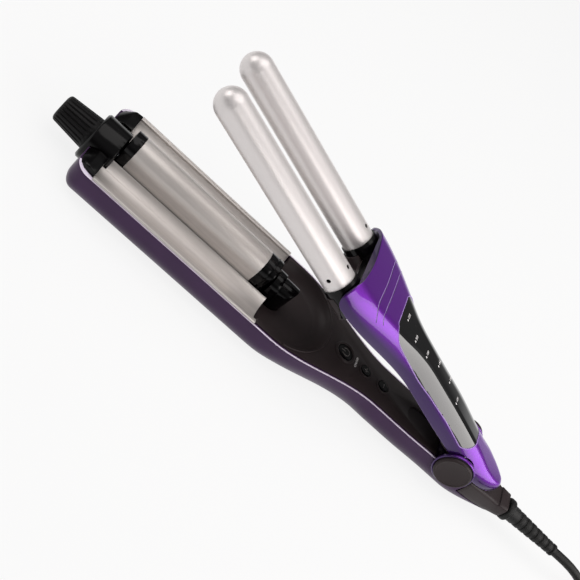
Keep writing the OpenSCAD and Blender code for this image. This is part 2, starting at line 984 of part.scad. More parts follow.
// A closed cross-section with its own edge radius above and below
function box_ring(x, hw, top, bottom, top_r, low_r, arc_n) = concat(
    [for (i = [0 : arc_n]) let (a = 90 - 90 * i / arc_n)
        [x, hw - top_r + top_r * cos(a), top - top_r + top_r * sin(a)]],
    [for (i = [0 : arc_n]) let (a = 90 * i / arc_n)
        [x, hw - low_r + low_r * cos(a), bottom + low_r - low_r * sin(a)]],
    [for (i = [0 : arc_n]) let (a = 90 - 90 * i / arc_n)
        [x, -hw + low_r - low_r * cos(a), bottom + low_r - low_r * sin(a)]],
    [for (i = [0 : arc_n]) let (a = 90 * i / arc_n)
        [x, -hw + top_r - top_r * cos(a), top - top_r + top_r * sin(a)]]
);

module tail_housing() {
    xs = [tail_end, -47, -43.2, -42.8, -36, -30, -24, -18, -15.5];
    color(deck_black)
        lower()
            difference() {
                loft([for (x = xs) box_ring(x, tub_hw(x) - 0.2, tail_top(x), tub_bottom(x) + 0.2,
                    2, max(3, tub_edge_r(x) - 0.2), 5)]);
                on_tail_plane(fit_gap)
                    span_box([-33, -30, -30], [27, 30, 0]);
                rod_x(tail_end - 5, -30, cord_d / 2 + 1.4, z = relief_z);
                rod_y(-30, 30, hinge_cap_r + 1.2);
                translate([tail_screw_x, 0, floor_z])
                    cylinder(h = 17, r = screw_hole_r);
            }
}

module strain_relief() {
    ring_r = 7.6;
    neck_r = 5.6;
    end_r = cord_d / 2 + 1.1;
    ribs = 7;
    pitch = (relief_l - 9) / ribs;
    color(rubber_black)
        lower()
            translate([relief_x0, 0, relief_z])
                rotate([0, -90, 0])
                    rotate_extrude()
                        polygon(concat(
                            [[0, -9], [cord_d / 2 + 1.3, -9], [cord_d / 2 + 1.3, 0.3],
                                [ring_r - 0.8, 0.3], [ring_r, 1.1], [ring_r, 3.8],
                                [ring_r - 0.8, 4.6], [neck_r, 4.6], [neck_r, 7]],
                            [for (i = [0 : ribs - 1]) let (r = mix(neck_r, end_r, i / (ribs - 1)))
                                each [
                                    [r, 7 + pitch * i], [r, 7 + pitch * (i + 0.62)],
                                    [r - 0.7, 7 + pitch * (i + 0.62)], [r - 0.7, 7 + pitch * (i + 1)]
                                ]],
                            [[end_r, relief_l - 2], [end_r, relief_l], [0, relief_l]]
                        ));
}

// The cord falls to the table and bends into the coil; x and height of its way
cord_fall = [
    [-97, 17], [-103, 17], [-109, 16.9], [-115, 16.4], [-121, 15.3], [-127, 13.5], [-133, 11.2],
    [-139, 8.7], [-145, 6.4], [-151, 4.7], [-157, 3.6], [-163, 3.1], [-169, 3], [-175, 3], [-181, 3]
];
coil_x = -186;
coil_y = 24;
coil_in = 22.8;
coil_turn_r = 46;
coil_top = 2 * cord_d + 0.2;
cord_route = [for (p = cord_fall) [p[0], (coil_y - coil_turn_r) * ease(-p[0], 127, 169), p[1]]];
lead_end_x = -160;
plug_z = 9.1;
plug_y = coil_y + coil_turn_r;

// One ring of a cord, square to its direction
function cord_ring(p, dir, r, sides) =
    let (flat = norm([dir[0], dir[1]]), side = [-dir[1], dir[0], 0] / flat, up = cross(dir, side))
    [for (i = [0 : sides - 1]) let (a = 360 * i / sides) p + r * (cos(a) * side - sin(a) * up)];

module cord_tube(route, r, sides) {
    last = len(route) - 1;
    loft([for (i = [0 : last])
        let (before = route[max(0, i - 1)], after = route[min(last, i + 1)], d = after - before)
        cord_ring(route[i], d / norm(d), r, sides)]);
}

module power_cord() {
    color(rubber_black)
        cord_tube(cord_route, cord_d / 2, 10);
}

module cord_coil() {
    color(rubber_black)
        translate([coil_x, coil_y, 0])
            rotate_extrude($fn = 96)
                translate([coil_in, 0])
                    square([coil_turn_r + cord_d / 2 - coil_in, coil_top]);
}

module plug_lead() {
    color(rubber_black)
        rod_x(coil_x + 12, lead_end_x, cord_d / 2, y = plug_y, z = plug_z);
}

module plug() {
    color(rubber_black)
        translate([lead_end_x, plug_y, plug_z])
            rotate([0, 90, 0])
                rotate_extrude()
                    polygon([
                        [0, 0], [4.2, 0], [4.6, 14], [5.4, 24], [8, 28], [8.8, 31], [9, 34],
                        [9, 47], [8.4, 48.5], [0, 48.5]
                    ]);
}

module plug_blades() {
    blade_x0 = lead_end_x + 48.5;
    color(brass)
        for (side = [1, -1])
            difference() {
                span_box([blade_x0, plug_y + side * 6.35 - 0.75, plug_z - 3.2],
                    [blade_x0 + 16.5, plug_y + side * 6.35 + 0.75, plug_z + 3.2]);
                rod_y(plug_y - 10, plug_y + 10, 1.5, x = blade_x0 + 12, z = plug_z);
            }
}

// ---- Upper arm ----

hood_edge_r = 14.2;
// Lower edge of the hood, the radius of its lower front corners and the sweep of its front rim
hood_foot = 3.1;
hood_corner_r = 7.5;
front_sweep_r = 98;
front_sweep = 3.8;
bush_r = pin_r + 1.2;
lug_y0 = 8;
lug_y1 = handle_hw - 1.1 - shell_wall - 0.8 - run_gap;

// The hood is full width in front of hood_wide and its crown falls behind nose_top
hood_wide = -3;
nose_top = -29;
function hood_hw(x) = x > hood_wide
    ? arm_hw(x) - 0.3
    : (arm_hw(hood_wide) - 0.3) * sqrt(max(0.004, 1 - pow((hood_wide - x) / (hood_wide - nose_end), 2)));
function hood_crown(x) = mix(mix(handle_top - 3, handle_top, ease(x, -30, 40)), hood_top, ease(x, 66, 95));
function hood_height(x) = x > nose_top
    ? hood_crown(x)
    : 10.2 + (hood_crown(x) - 10.2) * sqrt(max(0.01, 1 - pow((nose_top - x) / (nose_top - nose_end), 2)));
function hood_low(x) = hood_foot + 2.4 * ease(-x, 0, 12) + 4.5 * ease(-x, 8, 40);
function hood_r(x) = x > 0
    ? mix(12.4, hood_edge_r, ease(x, 66, 95))
    : min(12.4, hood_hw(x) * 0.9, (hood_height(x) - hood_low(x)) * 0.9);

hood_xs = concat(
    [nose_end + 0.2, nose_end + 1, nose_end + 2.4, nose_end + 4.5], steps(-26, hood_wide, 4),
    [14, 30, 45], steps(60, 140, 10), [hood_x]
);

function hood_rings(xs, inset, low, arc_n) = [
    for (x = xs) hood_ring(x, hood_hw(x) - inset, hood_height(x) - inset,
        low ? hood_low(x) : hood_low(x) - 12, max(1, hood_r(x) - inset), arc_n)
];

module hood_solid(xs, inset) {
    loft(hood_rings(xs, inset, false, 7));
}

window_x1 = 108.5;
window_x0 = window_x1 - window_l;
window_seat_z = 10;

// Outline of the window from above: boxy rounded rear, swelling with the hood, cut front corners
module window_plan(grow) {
    end_r = 9;
    half = [
        [window_x0 + end_r, window_hw - 1], [40, window_hw - 0.3], [56, window_hw], [75, window_hw + 0.9],
        [87, window_hw + 1.9], [97, window_hw + 3.2], [101, window_hw + 3.2], [105.5, window_hw + 1.2],
        [window_x1, window_hw - 3]
    ];
    offset(delta = grow) {
        polygon(concat(half, [for (i = [len(half) - 1 : -1 : 0]) [half[i][0], -half[i][1]]]));
        hull()
            both_sides_y(window_hw - 1 - end_r)
                translate([window_x0 + end_r, 0])
                    circle(r = end_r, $fn = 48);
    }
}

module both_sides_y(y) {
    for (side = [1, -1])
        translate([0, side * y])
            children();
}

// Sweeps the front rim back in the middle and rounds its lower corners
module hood_front_cut() {
    r = hood_corner_r;
    translate([0, 0, -1])
        linear_extrude(30)
            polygon(concat(
                [for (a = [-18 : 3 : 18])
                    [hood_x - front_sweep + front_sweep_r * (1 - cos(a)), front_sweep_r * sin(a)]],
                [[hood_x + 5, 32], [hood_x + 5, -32]]
            ));
    rotate([90, 0, 0])
        translate([0, 0, -40])
            linear_extrude(80)
                polygon(concat(
                    [[hood_x - r - 2, hood_foot - 1], [hood_x - r - 2, hood_foot - 0.05]],
                    [for (a = [15 : 15 : 90]) [hood_x - r + r * sin(a), hood_foot + r * (1 - cos(a))]],
                    [[hood_x + 5, hood_foot + r], [hood_x + 5, hood_foot - 1]]
                ));
}

module upper_shell() {
    inner_xs = [for (x = hood_xs) if (x > nose_end + 3) x];
    color(candy_purple)
        upper()
            difference() {
                loft(hood_rings(hood_xs, 0, true, 7));
                loft(hood_rings(concat(inner_xs, [hood_x + 1]), shell_wall, false, 7));
                translate([0, 0, window_seat_z])
                    linear_extrude(30)
                        window_plan(fit_gap);
                hood_front_cut();
                both_sides()
                    rod_y(handle_hw - 5.5, handle_hw + 3, hinge_cap_r + run_gap);
            }
}

module display_window() {
    wide_xs = steps(window_x0 + 52.5, window_x1 + 1.5, 6);
    narrow_xs = [window_x0 + 12.5, window_x0 + 37.5];
    color(gloss_black)
        upper()
            intersection() {
                difference() {
                    loft(hood_rings(concat([window_x0 - 2], narrow_xs, wide_xs), 0.15, false, 10));
                    loft(hood_rings(concat([window_x0 - 5], narrow_xs, wide_xs, [window_x1 + 6.5]),
                        shell_wall, false, 10));
                }
                translate([0, 0, window_seat_z + 0.1])
                    linear_extrude(30)
                        window_plan(0);
            }
}

// Inner cover: closes the underside of the upper arm and carries the hinge lugs
module inner_cover() {
    cover_t = 2;
    cover_z = hood_foot + 0.3;
    cover_x0 = 14;
    xs = concat([cover_x0, cover_x0 + 16], steps(flare_start - 4, face_x0 + 1.5, 10));
    color(deck_black)
        upper()
            difference() {
                union() {
                    loft([for (x = xs) hood_ring(x, hood_hw(x) - shell_wall - fit_gap,
                        cover_z + cover_t, cover_z, 1, 2)]);
                    both_sides() {
                        rod_y(lug_y0, lug_y1, bush_r + 2.2);
                        span_box([0, lug_y0, 0.2], [20, lug_y1, cover_z + 1]);
                        intersection() {
                            difference() {
                                rod_x(mount_x0 - 1.6, mount_x1 - 4, barrel_r + 1.8,
                                    y = barrel_y, z = barrel_h);
                                span_box([120, 0, cover_z + 1], [150, 40, 30]);
                            }
                            translate([bowl_x, 0, -30])
                                cylinder(h = 60, r = bowl_r - 1.1);
                        }
                    }
                    for (p = cover_places)
                        translate([p[0], p[1], cover_z])
                            cylinder(h = 7, r = 3.2);
                }
                both_sides() {
                    rod_y(lug_y0 - 1, lug_y1 + 1, bush_r + 0.01);
                    rod_x(mount_x0 - 0.2, mount_x1, barrel_r + 1.1, y = barrel_y, z = barrel_h);
                }
                for (p = cover_places) {
                    translate([p[0], p[1], cover_z - 1])
                        cylinder(h = 2, r = 2.6);
                    translate([p[0], p[1], cover_z - 1])
                        cylinder(h = 12, r = screw_hole_r);
                }
            }
}

cover_places = [[28, 0], [112, 16], [112, -16]];

module cover_screws() {
    color(steel)
        upper()
            for (p = cover_places)
                translate([p[0], p[1], 3.5]) {
                    difference() {
                        cylinder(h = 0.9, r = 2.4);
                        translate([0, 0, -0.5])
                            cylinder(h = 1, r = 1);
                    }
                    cylinder(h = 6.5, r = screw_r);
                }
}

face_x0 = hood_x - 7.2;
mount_x0 = trough_x0 - 24;
mount_l = 18;
mount_x1 = mount_x0 + mount_l;

// Face plate with the two sockets that hold the barrels
module barrel_mount() {
    socket_r = barrel_r + 0.9;
    color(gloss_black)
        upper()
            difference() {
                union() {
                    both_sides()
                        rod_x(mount_x0, mount_x1, socket_r, y = barrel_y, z = barrel_h);
                    intersection() {
                        hood_solid([138, 140, 142, 144], shell_wall + fit_gap);
                        span_box([face_x0, -40, 5.6], [face_x0 + 2, 40, 30]);
                    }
                }
                both_sides()
                    rod_x(mount_x0 + 2, mount_x1 + 1, barrel_r + 0.02, y = barrel_y, z = barrel_h);
                both_sides()
                    span_box([mount_x0 - 1, barrel_y - 4, barrel_h - 2.5],
                        [mount_x0 + 3, barrel_y + 4, barrel_h + 2.5]);
            }
}

barrel_x0 = mount_x0 + 2.1;
dome_x = mount_x1 + barrel_l;
barrel_screw_x = mount_x1 + 7;

module barrel() {
    inner_r = barrel_r - barrel_wall;
    color(silver)
        difference() {
            translate([barrel_x0, barrel_y, barrel_h])
                rotate([0, 90, 0])
                    difference() {
                        union() {
                            cylinder(h = dome_x - barrel_x0, r = barrel_r, $fn = 96);
                            translate([0, 0, dome_x - barrel_x0])
                                sphere(r = barrel_r, $fn = 96);
                        }
                        translate([0, 0, -1])
                            cylinder(h = dome_x - barrel_x0 + 1, r = inner_r, $fn = 96);
                        translate([0, 0, dome_x - barrel_x0])
                            sphere(r = inner_r, $fn = 96);
                    }
            rod_y(barrel_y, barrel_y + 15, 1.3, x = barrel_screw_x, z = barrel_h);
            translate([barrel_screw_x, barrel_y, barrel_h])
                cylinder(h = 15, r = 1.3);
        }
}

module left_barrel() {
    upper()
        barrel();
}

module right_barrel() {
    upper()
        mirror([0, 1, 0])
            barrel();
}

module barrel_screws() {
    color(deck_black)
        upper()
            both_sides()
                translate([barrel_screw_x, barrel_y, barrel_h]) {
                    translate([0, 0, barrel_r - barrel_wall - 0.2])
                        cylinder(h = barrel_wall - 0.3, r = 1.28);
                    rod_y(barrel_r - barrel_wall - 0.2, barrel_r - 0.5, 1.28);
                }
}

module barrel_heaters() {
    inner_r = barrel_r - barrel_wall;
    half_t = 2.2;
    half_w = sqrt(pow(inner_r - 0.2, 2) - pow(half_t, 2));
    color(ceramic)
        upper()
            both_sides()
                span_box([barrel_screw_x + 6, barrel_y - half_w, barrel_h - half_t],
                    [dome_x - 2, barrel_y + half_w, barrel_h + half_t]);
}

// The lamps stand in a row on their board, close under the window
lamp_pitch = 13;
lamp_x = [for (i = [0 : lamp_n - 1]) window_x1 - 2 - lamp_pitch * i];
lamp_board_z = 11.6;
lamp_board_t = 1.2;
lamp_board_hw = 8;

module indicator_board() {
    color(board_green)
        upper() {
            span_box([lamp_x[lamp_n - 1] - 4, -lamp_board_hw, lamp_board_z],
                [lamp_x[0] + 1, lamp_board_hw, lamp_board_z + lamp_board_t]);
            for (x = [lamp_x[lamp_n - 1] - 2, lamp_x[0] - 6])
                span_box([x, -2, 5.7], [x + 3, 2, lamp_board_z]);
        }
}

module indicator_lamps() {
    color(ceramic)
        upper()
            for (x = lamp_x)
                translate([x, 3.5, lamp_board_z + lamp_board_t])
                    cylinder(h = hood_height(x) - shell_wall - lamp_board_z - lamp_board_t - 0.6, r = 1.5);
}

lower_shell();
control_deck();
trough_carrier();
left_trough();
right_trough();
left_tip_cap();
right_tip_cap();
trough_heaters();
thermal_fuse();
dial_housing();
rear_guide();
tail_housing();
left_hinge_cap();
right_hinge_cap();
hinge_pin();
return_spring();
control_board();
tact_switches();
shell_screws();
strain_relief();
power_cord();
cord_coil();
plug_lead();
plug();
plug_blades();
upper_shell();
display_window();
inner_cover();
barrel_mount();
left_barrel();
right_barrel();
barrel_screws();
barrel_heaters();
indicator_board();
indicator_lamps();
cover_screws();
hinge_bushes();
dial_knob();
dial_shaft();
front_cam();
rear_cam();
middle_barrel();
front_barrel_cap();
rear_barrel_cap();
middle_heater();
power_button();
plus_button();
minus_button();
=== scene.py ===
"""Looks of the hair waver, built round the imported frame. Metres, +X to the dial, +Z up, +Y left."""

import json
import math

import bmesh
import bpy
from mathutils import Matrix, Vector


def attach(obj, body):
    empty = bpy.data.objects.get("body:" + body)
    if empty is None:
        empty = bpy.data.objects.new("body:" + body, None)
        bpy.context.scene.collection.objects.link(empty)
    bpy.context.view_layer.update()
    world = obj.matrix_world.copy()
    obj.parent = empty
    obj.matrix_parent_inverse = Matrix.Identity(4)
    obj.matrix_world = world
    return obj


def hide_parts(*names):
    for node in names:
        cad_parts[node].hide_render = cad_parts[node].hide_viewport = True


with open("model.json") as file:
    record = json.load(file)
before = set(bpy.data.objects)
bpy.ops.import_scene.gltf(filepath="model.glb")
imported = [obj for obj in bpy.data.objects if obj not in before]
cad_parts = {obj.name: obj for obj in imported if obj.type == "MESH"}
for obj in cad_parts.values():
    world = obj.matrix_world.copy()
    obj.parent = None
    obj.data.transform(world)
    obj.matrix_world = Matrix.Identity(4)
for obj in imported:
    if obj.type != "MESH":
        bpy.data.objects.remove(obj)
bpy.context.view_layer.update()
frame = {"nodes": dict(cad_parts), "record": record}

MM = 0.001
HINGE = Vector((0, 0, 25 * MM))
OPEN_ANGLE = math.radians(18)

# ---- Camera -------------------------------------------------------------------------------

# Fitted to the photo, in the pixels of its 580 x 580 frame and in metres
FRAME_PX = 580
FOCAL_PX = 1100
CENTRE_PX = (291.4, 293.7)
SENSOR_MM = 36
CAMERA_AT = Vector((0.2950, 0.4793, 0.4224))
CAMERA_RIGHT = Vector((-0.7184, -0.2937, 0.6306))
CAMERA_DOWN = Vector((-0.6548, 0.5916, -0.4704))


def make_camera():
    data = bpy.data.cameras.new("camera")
    cam = bpy.data.objects.new("camera", data)
    bpy.context.scene.collection.objects.link(cam)
    right = CAMERA_RIGHT.normalized()
    forward = right.cross(CAMERA_DOWN).normalized()
    down = forward.cross(right)
    turn = Matrix((right, -down, -forward)).transposed()
    cam.matrix_world = Matrix.Translation(CAMERA_AT) @ turn.to_4x4()
    data.sensor_fit = "HORIZONTAL"
    data.sensor_width = SENSOR_MM
    data.lens = SENSOR_MM * FOCAL_PX / FRAME_PX
    data.shift_x = (FRAME_PX / 2 - CENTRE_PX[0]) / FRAME_PX
    data.shift_y = (CENTRE_PX[1] - FRAME_PX / 2) / FRAME_PX
    data.clip_start = 0.01
    data.clip_end = 20
    bpy.context.scene.camera = cam


make_camera()

# ---- Materials ----------------------------------------------------------------------------


def mix(a, b, t):
    return a + (b - a) * t


def ease(x, a, b):
    """A smooth step from 0 at a to 1 at b"""
    t = min(1, max(0, (x - a) / (b - a)))
    return t * t * (3 - 2 * t)


def rgb(code):
    """sRGB hex to the linear colour that a shader socket takes"""
    parts = [int(code[i:i + 2], 16) / 255 for i in (1, 3, 5)]
    return tuple(c / 12.92 if c < 0.04045 else ((c + 0.055) / 1.055) ** 2.4 for c in parts) + (1,)


def shade(code, factor):
    """The same colour, lighter or darker by a factor"""
    return tuple(c * factor for c in rgb(code)[:3]) + (1,)


def grey(value):
    return (value,) * 3 + (1,)


# Scales of the noise textures, in waves per metre
MOTTLE_SCALE = 60
WEAR_SCALE = 35
FLAKE_SCALE = 5200
EVEN = (1, 1, 1)
ALONG_X = (0.02, 1, 1)


class Nodes:
    """A new material and short ways to add nodes to it"""

    def __init__(self, name):
        self.mat = bpy.data.materials.new(name)
        self.mat.use_nodes = True
        self.tree = self.mat.node_tree
        self.shader = self.tree.nodes["Principled BSDF"]

    def add(self, kind, **inputs):
        node = self.tree.nodes.new(kind)
        for key, value in inputs.items():
            node.inputs[key.replace("_", " ")].default_value = value
        return node

    def link(self, a, out, b, into):
        self.tree.links.new(a.outputs[out], b.inputs[into])

    def position(self, stretch):
        """Object coordinates, squeezed so that a grain can run along one axis"""
        coord = self.tree.nodes.new("ShaderNodeTexCoord")
        mapping = self.tree.nodes.new("ShaderNodeMapping")
        mapping.inputs["Scale"].default_value = stretch
        self.link(coord, "Object", mapping, "Vector")
        return mapping

    def noise(self, stretch, scale, detail=3.0):
        node = self.add("ShaderNodeTexNoise", Scale=scale, Detail=detail)
        self.link(self.position(stretch), "Vector", node, "Vector")
        return node

    def ramp(self, source, stops, out=0):
        node = self.tree.nodes.new("ShaderNodeValToRGB")
        ramp = node.color_ramp
        while len(ramp.elements) < len(stops):
            ramp.elements.new(0.5)
        for element, (place, colour) in zip(ramp.elements, stops):
            element.position = place
            element.color = colour
        self.tree.links.new(source.outputs[out], node.inputs["Fac"])
        return node

    def uneven_colour(self, source, code, vary):
        """Colour that wanders by a share round the given one"""
        tint = self.ramp(source, [(0.3, shade(code, 1 - vary)), (0.7, shade(code, 1 + vary))])
        self.link(tint, "Color", self.shader, "Base Color")

    def uneven_rough(self, source, low, high):
        rough = self.ramp(source, [(0.3, grey(low)), (0.7, grey(high))])
        self.link(rough, "Color", self.shader, "Roughness")

    def bump(self, source, height):
        node = self.add("ShaderNodeBump", Strength=1.0, Distance=height)
        self.link(source, 0, node, "Height")
        self.link(node, "Normal", self.shader, "Normal")


def plastic(name, code, rough, grain=0.00002, scale=2200, vary=0.08, coat=0.0, spec=0.5):
    """Moulded plastic; grain is the height of its texture in metres"""
    n = Nodes(name)
    n.uneven_colour(n.noise(EVEN, MOTTLE_SCALE), code, vary)
    if grain:
        n.bump(n.noise(EVEN, scale), grain)
    n.uneven_rough(n.noise(EVEN, WEAR_SCALE), rough * 0.9, rough * 1.12)
    n.shader.inputs["Specular IOR Level"].default_value = spec
    n.shader.inputs["Coat Weight"].default_value = coat
    n.shader.inputs["Coat Roughness"].default_value = 0.05
    return n.mat


def metal(name, code, rough, stretch, grain=0.000012, vary=0.05, metallic=1.0, scale=900):
    """Metal with a brushed grain along the axis that stretch squeezes"""
    n = Nodes(name)
    streaks = n.noise(stretch, scale, 4.0)
    n.uneven_colour(streaks, code, vary)
    n.uneven_rough(streaks, rough * 0.88, rough * 1.15)
    n.bump(streaks, grain)
    n.shader.inputs["Metallic"].default_value = metallic
    return n.mat


def candy_with_painted_shade(name, top, side, rough):
    """Candy lacquer: metallic flake under a clear coat, with painted shade: the base colour is darker on the
    steep sides and lighter on top, by how far the surface tilts from the arm's up
    """
    n = Nodes(name)
    coord = n.tree.nodes.new("ShaderNodeTexCoord")
    facing = n.tree.nodes.new("ShaderNodeVectorMath")
    facing.operation = "DOT_PRODUCT"
    facing.inputs[1].default_value = (-math.sin(OPEN_ANGLE), 0, math.cos(OPEN_ANGLE))
    n.link(coord, "Normal", facing, 0)
    # Painted shade: steep faces take the dark side colour, faces that point up the light top colour
    depth = n.ramp(facing, [(0.35, rgb(side)), (0.97, rgb(top))], "Value")
    flake = n.noise(EVEN, FLAKE_SCALE, 2.0)
    sparkle = n.ramp(flake, [(0.35, grey(0.72)), (0.65, grey(1))])
    blend = n.add("ShaderNodeMixRGB", Fac=1.0)
    blend.blend_type = "MULTIPLY"
    n.link(depth, "Color", blend, "Color1")
    n.link(sparkle, "Color", blend, "Color2")
    n.link(blend, "Color", n.shader, "Base Color")
    n.bump(flake, 0.000004)
    n.shader.inputs["Metallic"].default_value = 0.75
    n.shader.inputs["Roughness"].default_value = rough
    n.shader.inputs["Coat Weight"].default_value = 0.7
    n.shader.inputs["Coat Roughness"].default_value = 0.04
    n.shader.inputs["Coat IOR"].default_value = 1.5
    return n.mat


MATERIALS = {
    "plum_plastic": plastic("plum_plastic", "#3d2348", 0.36, grain=0.000004, coat=0.05, spec=0.22),
    # Painted shade: the hood's purple is lighter on top and darker on its steep sides
    "purple_gloss": candy_with_painted_shade("purple_gloss", "#7c1ab6", "#350a58", 0.34),
    # Painted highlight: near-white lilac for the bright band along the tub's rim
    "lilac_painted_highlight": plastic("lilac_painted_highlight", "#eadff2", 0.3, grain=0, vary=0.02),
    # Painted highlight: bright violet for the beads along the window seat, the hood's feet and the joints'
    # edges
    "violet_painted_highlight": plastic("violet_painted_highlight", "#a583cc", 0.3, grain=0, vary=0.02),
    "deep_purple": plastic("deep_purple", "#22083f", 0.3, grain=0, vary=0.02, coat=0.3),
    "black_plastic": plastic("black_plastic", "#302829", 0.44, grain=0.000006, spec=0.2),
    "gloss_black": plastic("gloss_black", "#060506", 0.16, grain=0.000001, spec=0.2),
    "window_black": plastic("window_black", "#060506", 0.06, grain=0, vary=0, spec=0.8, coat=0.8),
    "matte_black": plastic("matte_black", "#0d0c0d", 0.5, grain=0.00002, scale=1500, spec=0.2),
    # Painted shade: a near-black matte colour that stands for the dark inside of holes
    "hole_shade_black": plastic("hole_shade_black", "#050405", 0.6, grain=0, spec=0.05),
    "satin_aluminium": metal("satin_aluminium", "#cfc9c5", 0.4, ALONG_X, vary=0.13, metallic=0.5, scale=320),
    "silver_coat": metal("silver_coat", "#e4dfde", 0.36, EVEN, 0.000004, 0.02, 0.5, 2600),
    "steel": metal("steel", "#9a9da0", 0.3, EVEN),
    "brass": metal("brass", "#c8a24a", 0.3, EVEN),
    "ceramic": plastic("ceramic", "#e2ded2", 0.6),
    "board": plastic("board", "#1f5a3a", 0.45),
    "lamp": plastic("lamp", "#e8e4da", 0.3),
    "cord_rubber": plastic("cord_rubber", "#141414", 0.5, grain=0.00002, spec=0.25),
    "print_white": plastic("print_white", "#f1eeee", 0.5, grain=0, vary=0.0),
    "print_grey": plastic("print_grey", "#5a5554", 0.45, grain=0, vary=0.02),
}

SLOT_OF = {part["node"]: part["material_slot"] for part in frame["record"]["subparts"]}
BODY_OF = {node: body for body, group in frame["record"]["behaviour"]["bodies"].items() for node in group}


def paint(node, material):
    for place in frame["nodes"][node].material_slots:
        place.material = MATERIALS[material]


for node_name in frame["nodes"]:
    paint(node_name, SLOT_OF[node_name])

# ---- Smooth shells ------------------------------------------------------------------------

# Sizes of the CAD model that the shells follow, in millimetres from the hinge axis
HANDLE_HW, HEAD_HW, WALL = 17, 35, 2.2
FLARE_X0, FLARE_X1 = 64, 142
WAIST, WAIST_X0, WAIST_X1 = 1.1, 8, 40
HANDLE_REAR, TAIL_END = -8, -50
FLOOR_Z, RIM_Z, DECK_Z = -25, -3.2, -2.5
TIP_X, TIP_R, TIP_RISE = 286, 9.5, 5
TAIL_TAPER, TAIL_RISE = 8, 9.5
TAIL_LEAN, TAIL_X, TAIL_Z = math.radians(8), -14, -12
DIAL_Z, DIAL_R = -8.3, 15.3
KNOB_X0, KNOB_X1, KNOB_END_L, KNOB_R0, KNOB_R1 = 289.7, 309.3, 2.2, 10.4, 8.6
HINGE_HOLE_R = 12.3
BOWL_X, BOWL_R = 141, 31.5
HOOD_X, HOOD_FOOT, CORNER_R = 147, 3.1, 7.5
HOOD_TOPS = (15.5, 18.5, 17.5)
HOOD_REAR_R, HOOD_EDGE_R = 12.4, 14.2
SWELL_X0, SWELL_X1 = 66, 95
SWEEP, SWEEP_R, SWEEP_HW = 3.8, 98, 27
NOSE_END, NOSE_TOP, HOOD_WIDE, NOSE_Z = -33, -29, -3, 10.2
WINDOW_X0, WINDOW_X1, WINDOW_HW, WINDOW_R = 7.5, 108.5, 15, 9
FIT = 0.2

# Shell screws from below: where they stand, and their sunk heads
SCREWS = ((258, 23), (258, -23), (176, 23), (176, -23), (52, 0), (-24, 0))
SCREW_SINK, SCREW_HEAD_R, SCREW_BORE_R = 1.2, 3.1, 1.7

# The hood's crown over its flat top, and the points of half a cross-section
CROWN = 0.5
SIDE_N, TOP_N = 26, 7

# Rounded feet of the hood's wall, as (distance from the outside, rise)
EDGE_ROUND = [(0.12, 0.14), (0.45, 0), (WALL - 0.45, 0), (WALL - 0.12, 0.14)]
EDGE_LIFT = 0.42

# Radii of the fine lines, and how deep they lie in the surface
LINE_R, EDGE_R, LIP_R = 0.28, 0.3, 0.5
LINE_SINK = 0.16


def spread(a, b, n):
    return [a + (b - a) * i / n for i in range(n + 1)]


def arc(start, end, n):
    """Cosine and sine at even steps of an angle"""
    return [(math.cos(a), math.sin(a)) for a in spread(start, end, n)]


def whole_turn(n):
    return arc(0, 2 * math.pi * (1 - 1 / n), n - 1)


def arm_hw(x):
    return mix(HANDLE_HW, HEAD_HW, ease(x, FLARE_X0, FLARE_X1)) - WAIST * (1 - ease(x, WAIST_X0, WAIST_X1))


def hood_hw(x):
    if x > HOOD_WIDE:
        return arm_hw(x) - 0.3
    share = (HOOD_WIDE - x) / (HOOD_WIDE - NOSE_END)
    return (arm_hw(HOOD_WIDE) - 0.3) * math.sqrt(max(0.004, 1 - share ** 2))


def hood_crown(x):
    rear, middle, front = HOOD_TOPS
    return mix(mix(rear, middle, ease(x, -30, 40)), front, ease(x, SWELL_X0, SWELL_X1))


def hood_height(x):
    if x > NOSE_TOP:
        return hood_crown(x)
    share = (NOSE_TOP - x) / (NOSE_TOP - NOSE_END)
    return NOSE_Z + (hood_crown(x) - NOSE_Z) * math.sqrt(max(0.01, 1 - share ** 2))


def hood_foot(x):
    return HOOD_FOOT + 2.4 * ease(-x, 0, 12) + 4.5 * ease(-x, 8, 40)


def hood_low(x):
    """Lower edge of the hood, which rises round its front corners"""
    past = min(CORNER_R, max(0, x - HOOD_X + CORNER_R))
    return hood_foot(x) + CORNER_R - math.sqrt(CORNER_R ** 2 - past ** 2)


def hood_r(x):
    if x > 0:
        return mix(HOOD_REAR_R, HOOD_EDGE_R, ease(x, SWELL_X0, SWELL_X1))
    return min(HOOD_REAR_R, hood_hw(x) * 0.9, (hood_height(x) - hood_low(x)) * 0.9)


def hood_path(x, inset, lift, n_side=SIDE_N, n_top=TOP_N):
    """Half a cross-section from the foot to the centre line, as (y, z), moved inwards by inset"""
    hw, top = hood_hw(x) - inset, hood_height(x) - inset
    r = max(0.6, hood_r(x) - inset)
    low = min(hood_low(x), top - 0.5)
    foot = min(hood_foot(x), top - r)
    side = top - r - foot
    if low <= top - r:
        start = low - foot
    else:
        start = side + r * math.asin(min(1, (low - top + r) / r))
    out = []
    for s in spread(start + lift, side + r * math.pi / 2, n_side):
        if s < side:
            out.append((hw, foot + s))
        else:
            a = (s - side) / r
            out.append((hw - r + r * math.cos(a), top - r + r * math.sin(a)))
    out += [((hw - r) * (1 - i / n_top), top) for i in range(1, n_top + 1)]
    return [(y, z - CROWN * (y / hw) ** 2 * ease(z, top - r, top)) for y, z in out]


def sweep_back(x, y):
    """How far the front rim lies back at y, fading out along the hood"""
    back = SWEEP - SWEEP_R + math.sqrt(SWEEP_R ** 2 - min(SWEEP_HW, abs(y)) ** 2)
    return max(0, back) * ease(x, 108, HOOD_X)


def flip(points):
    """The other half of a cross-section, as (y, z)"""
    return [(-y, z) for y, z in points]


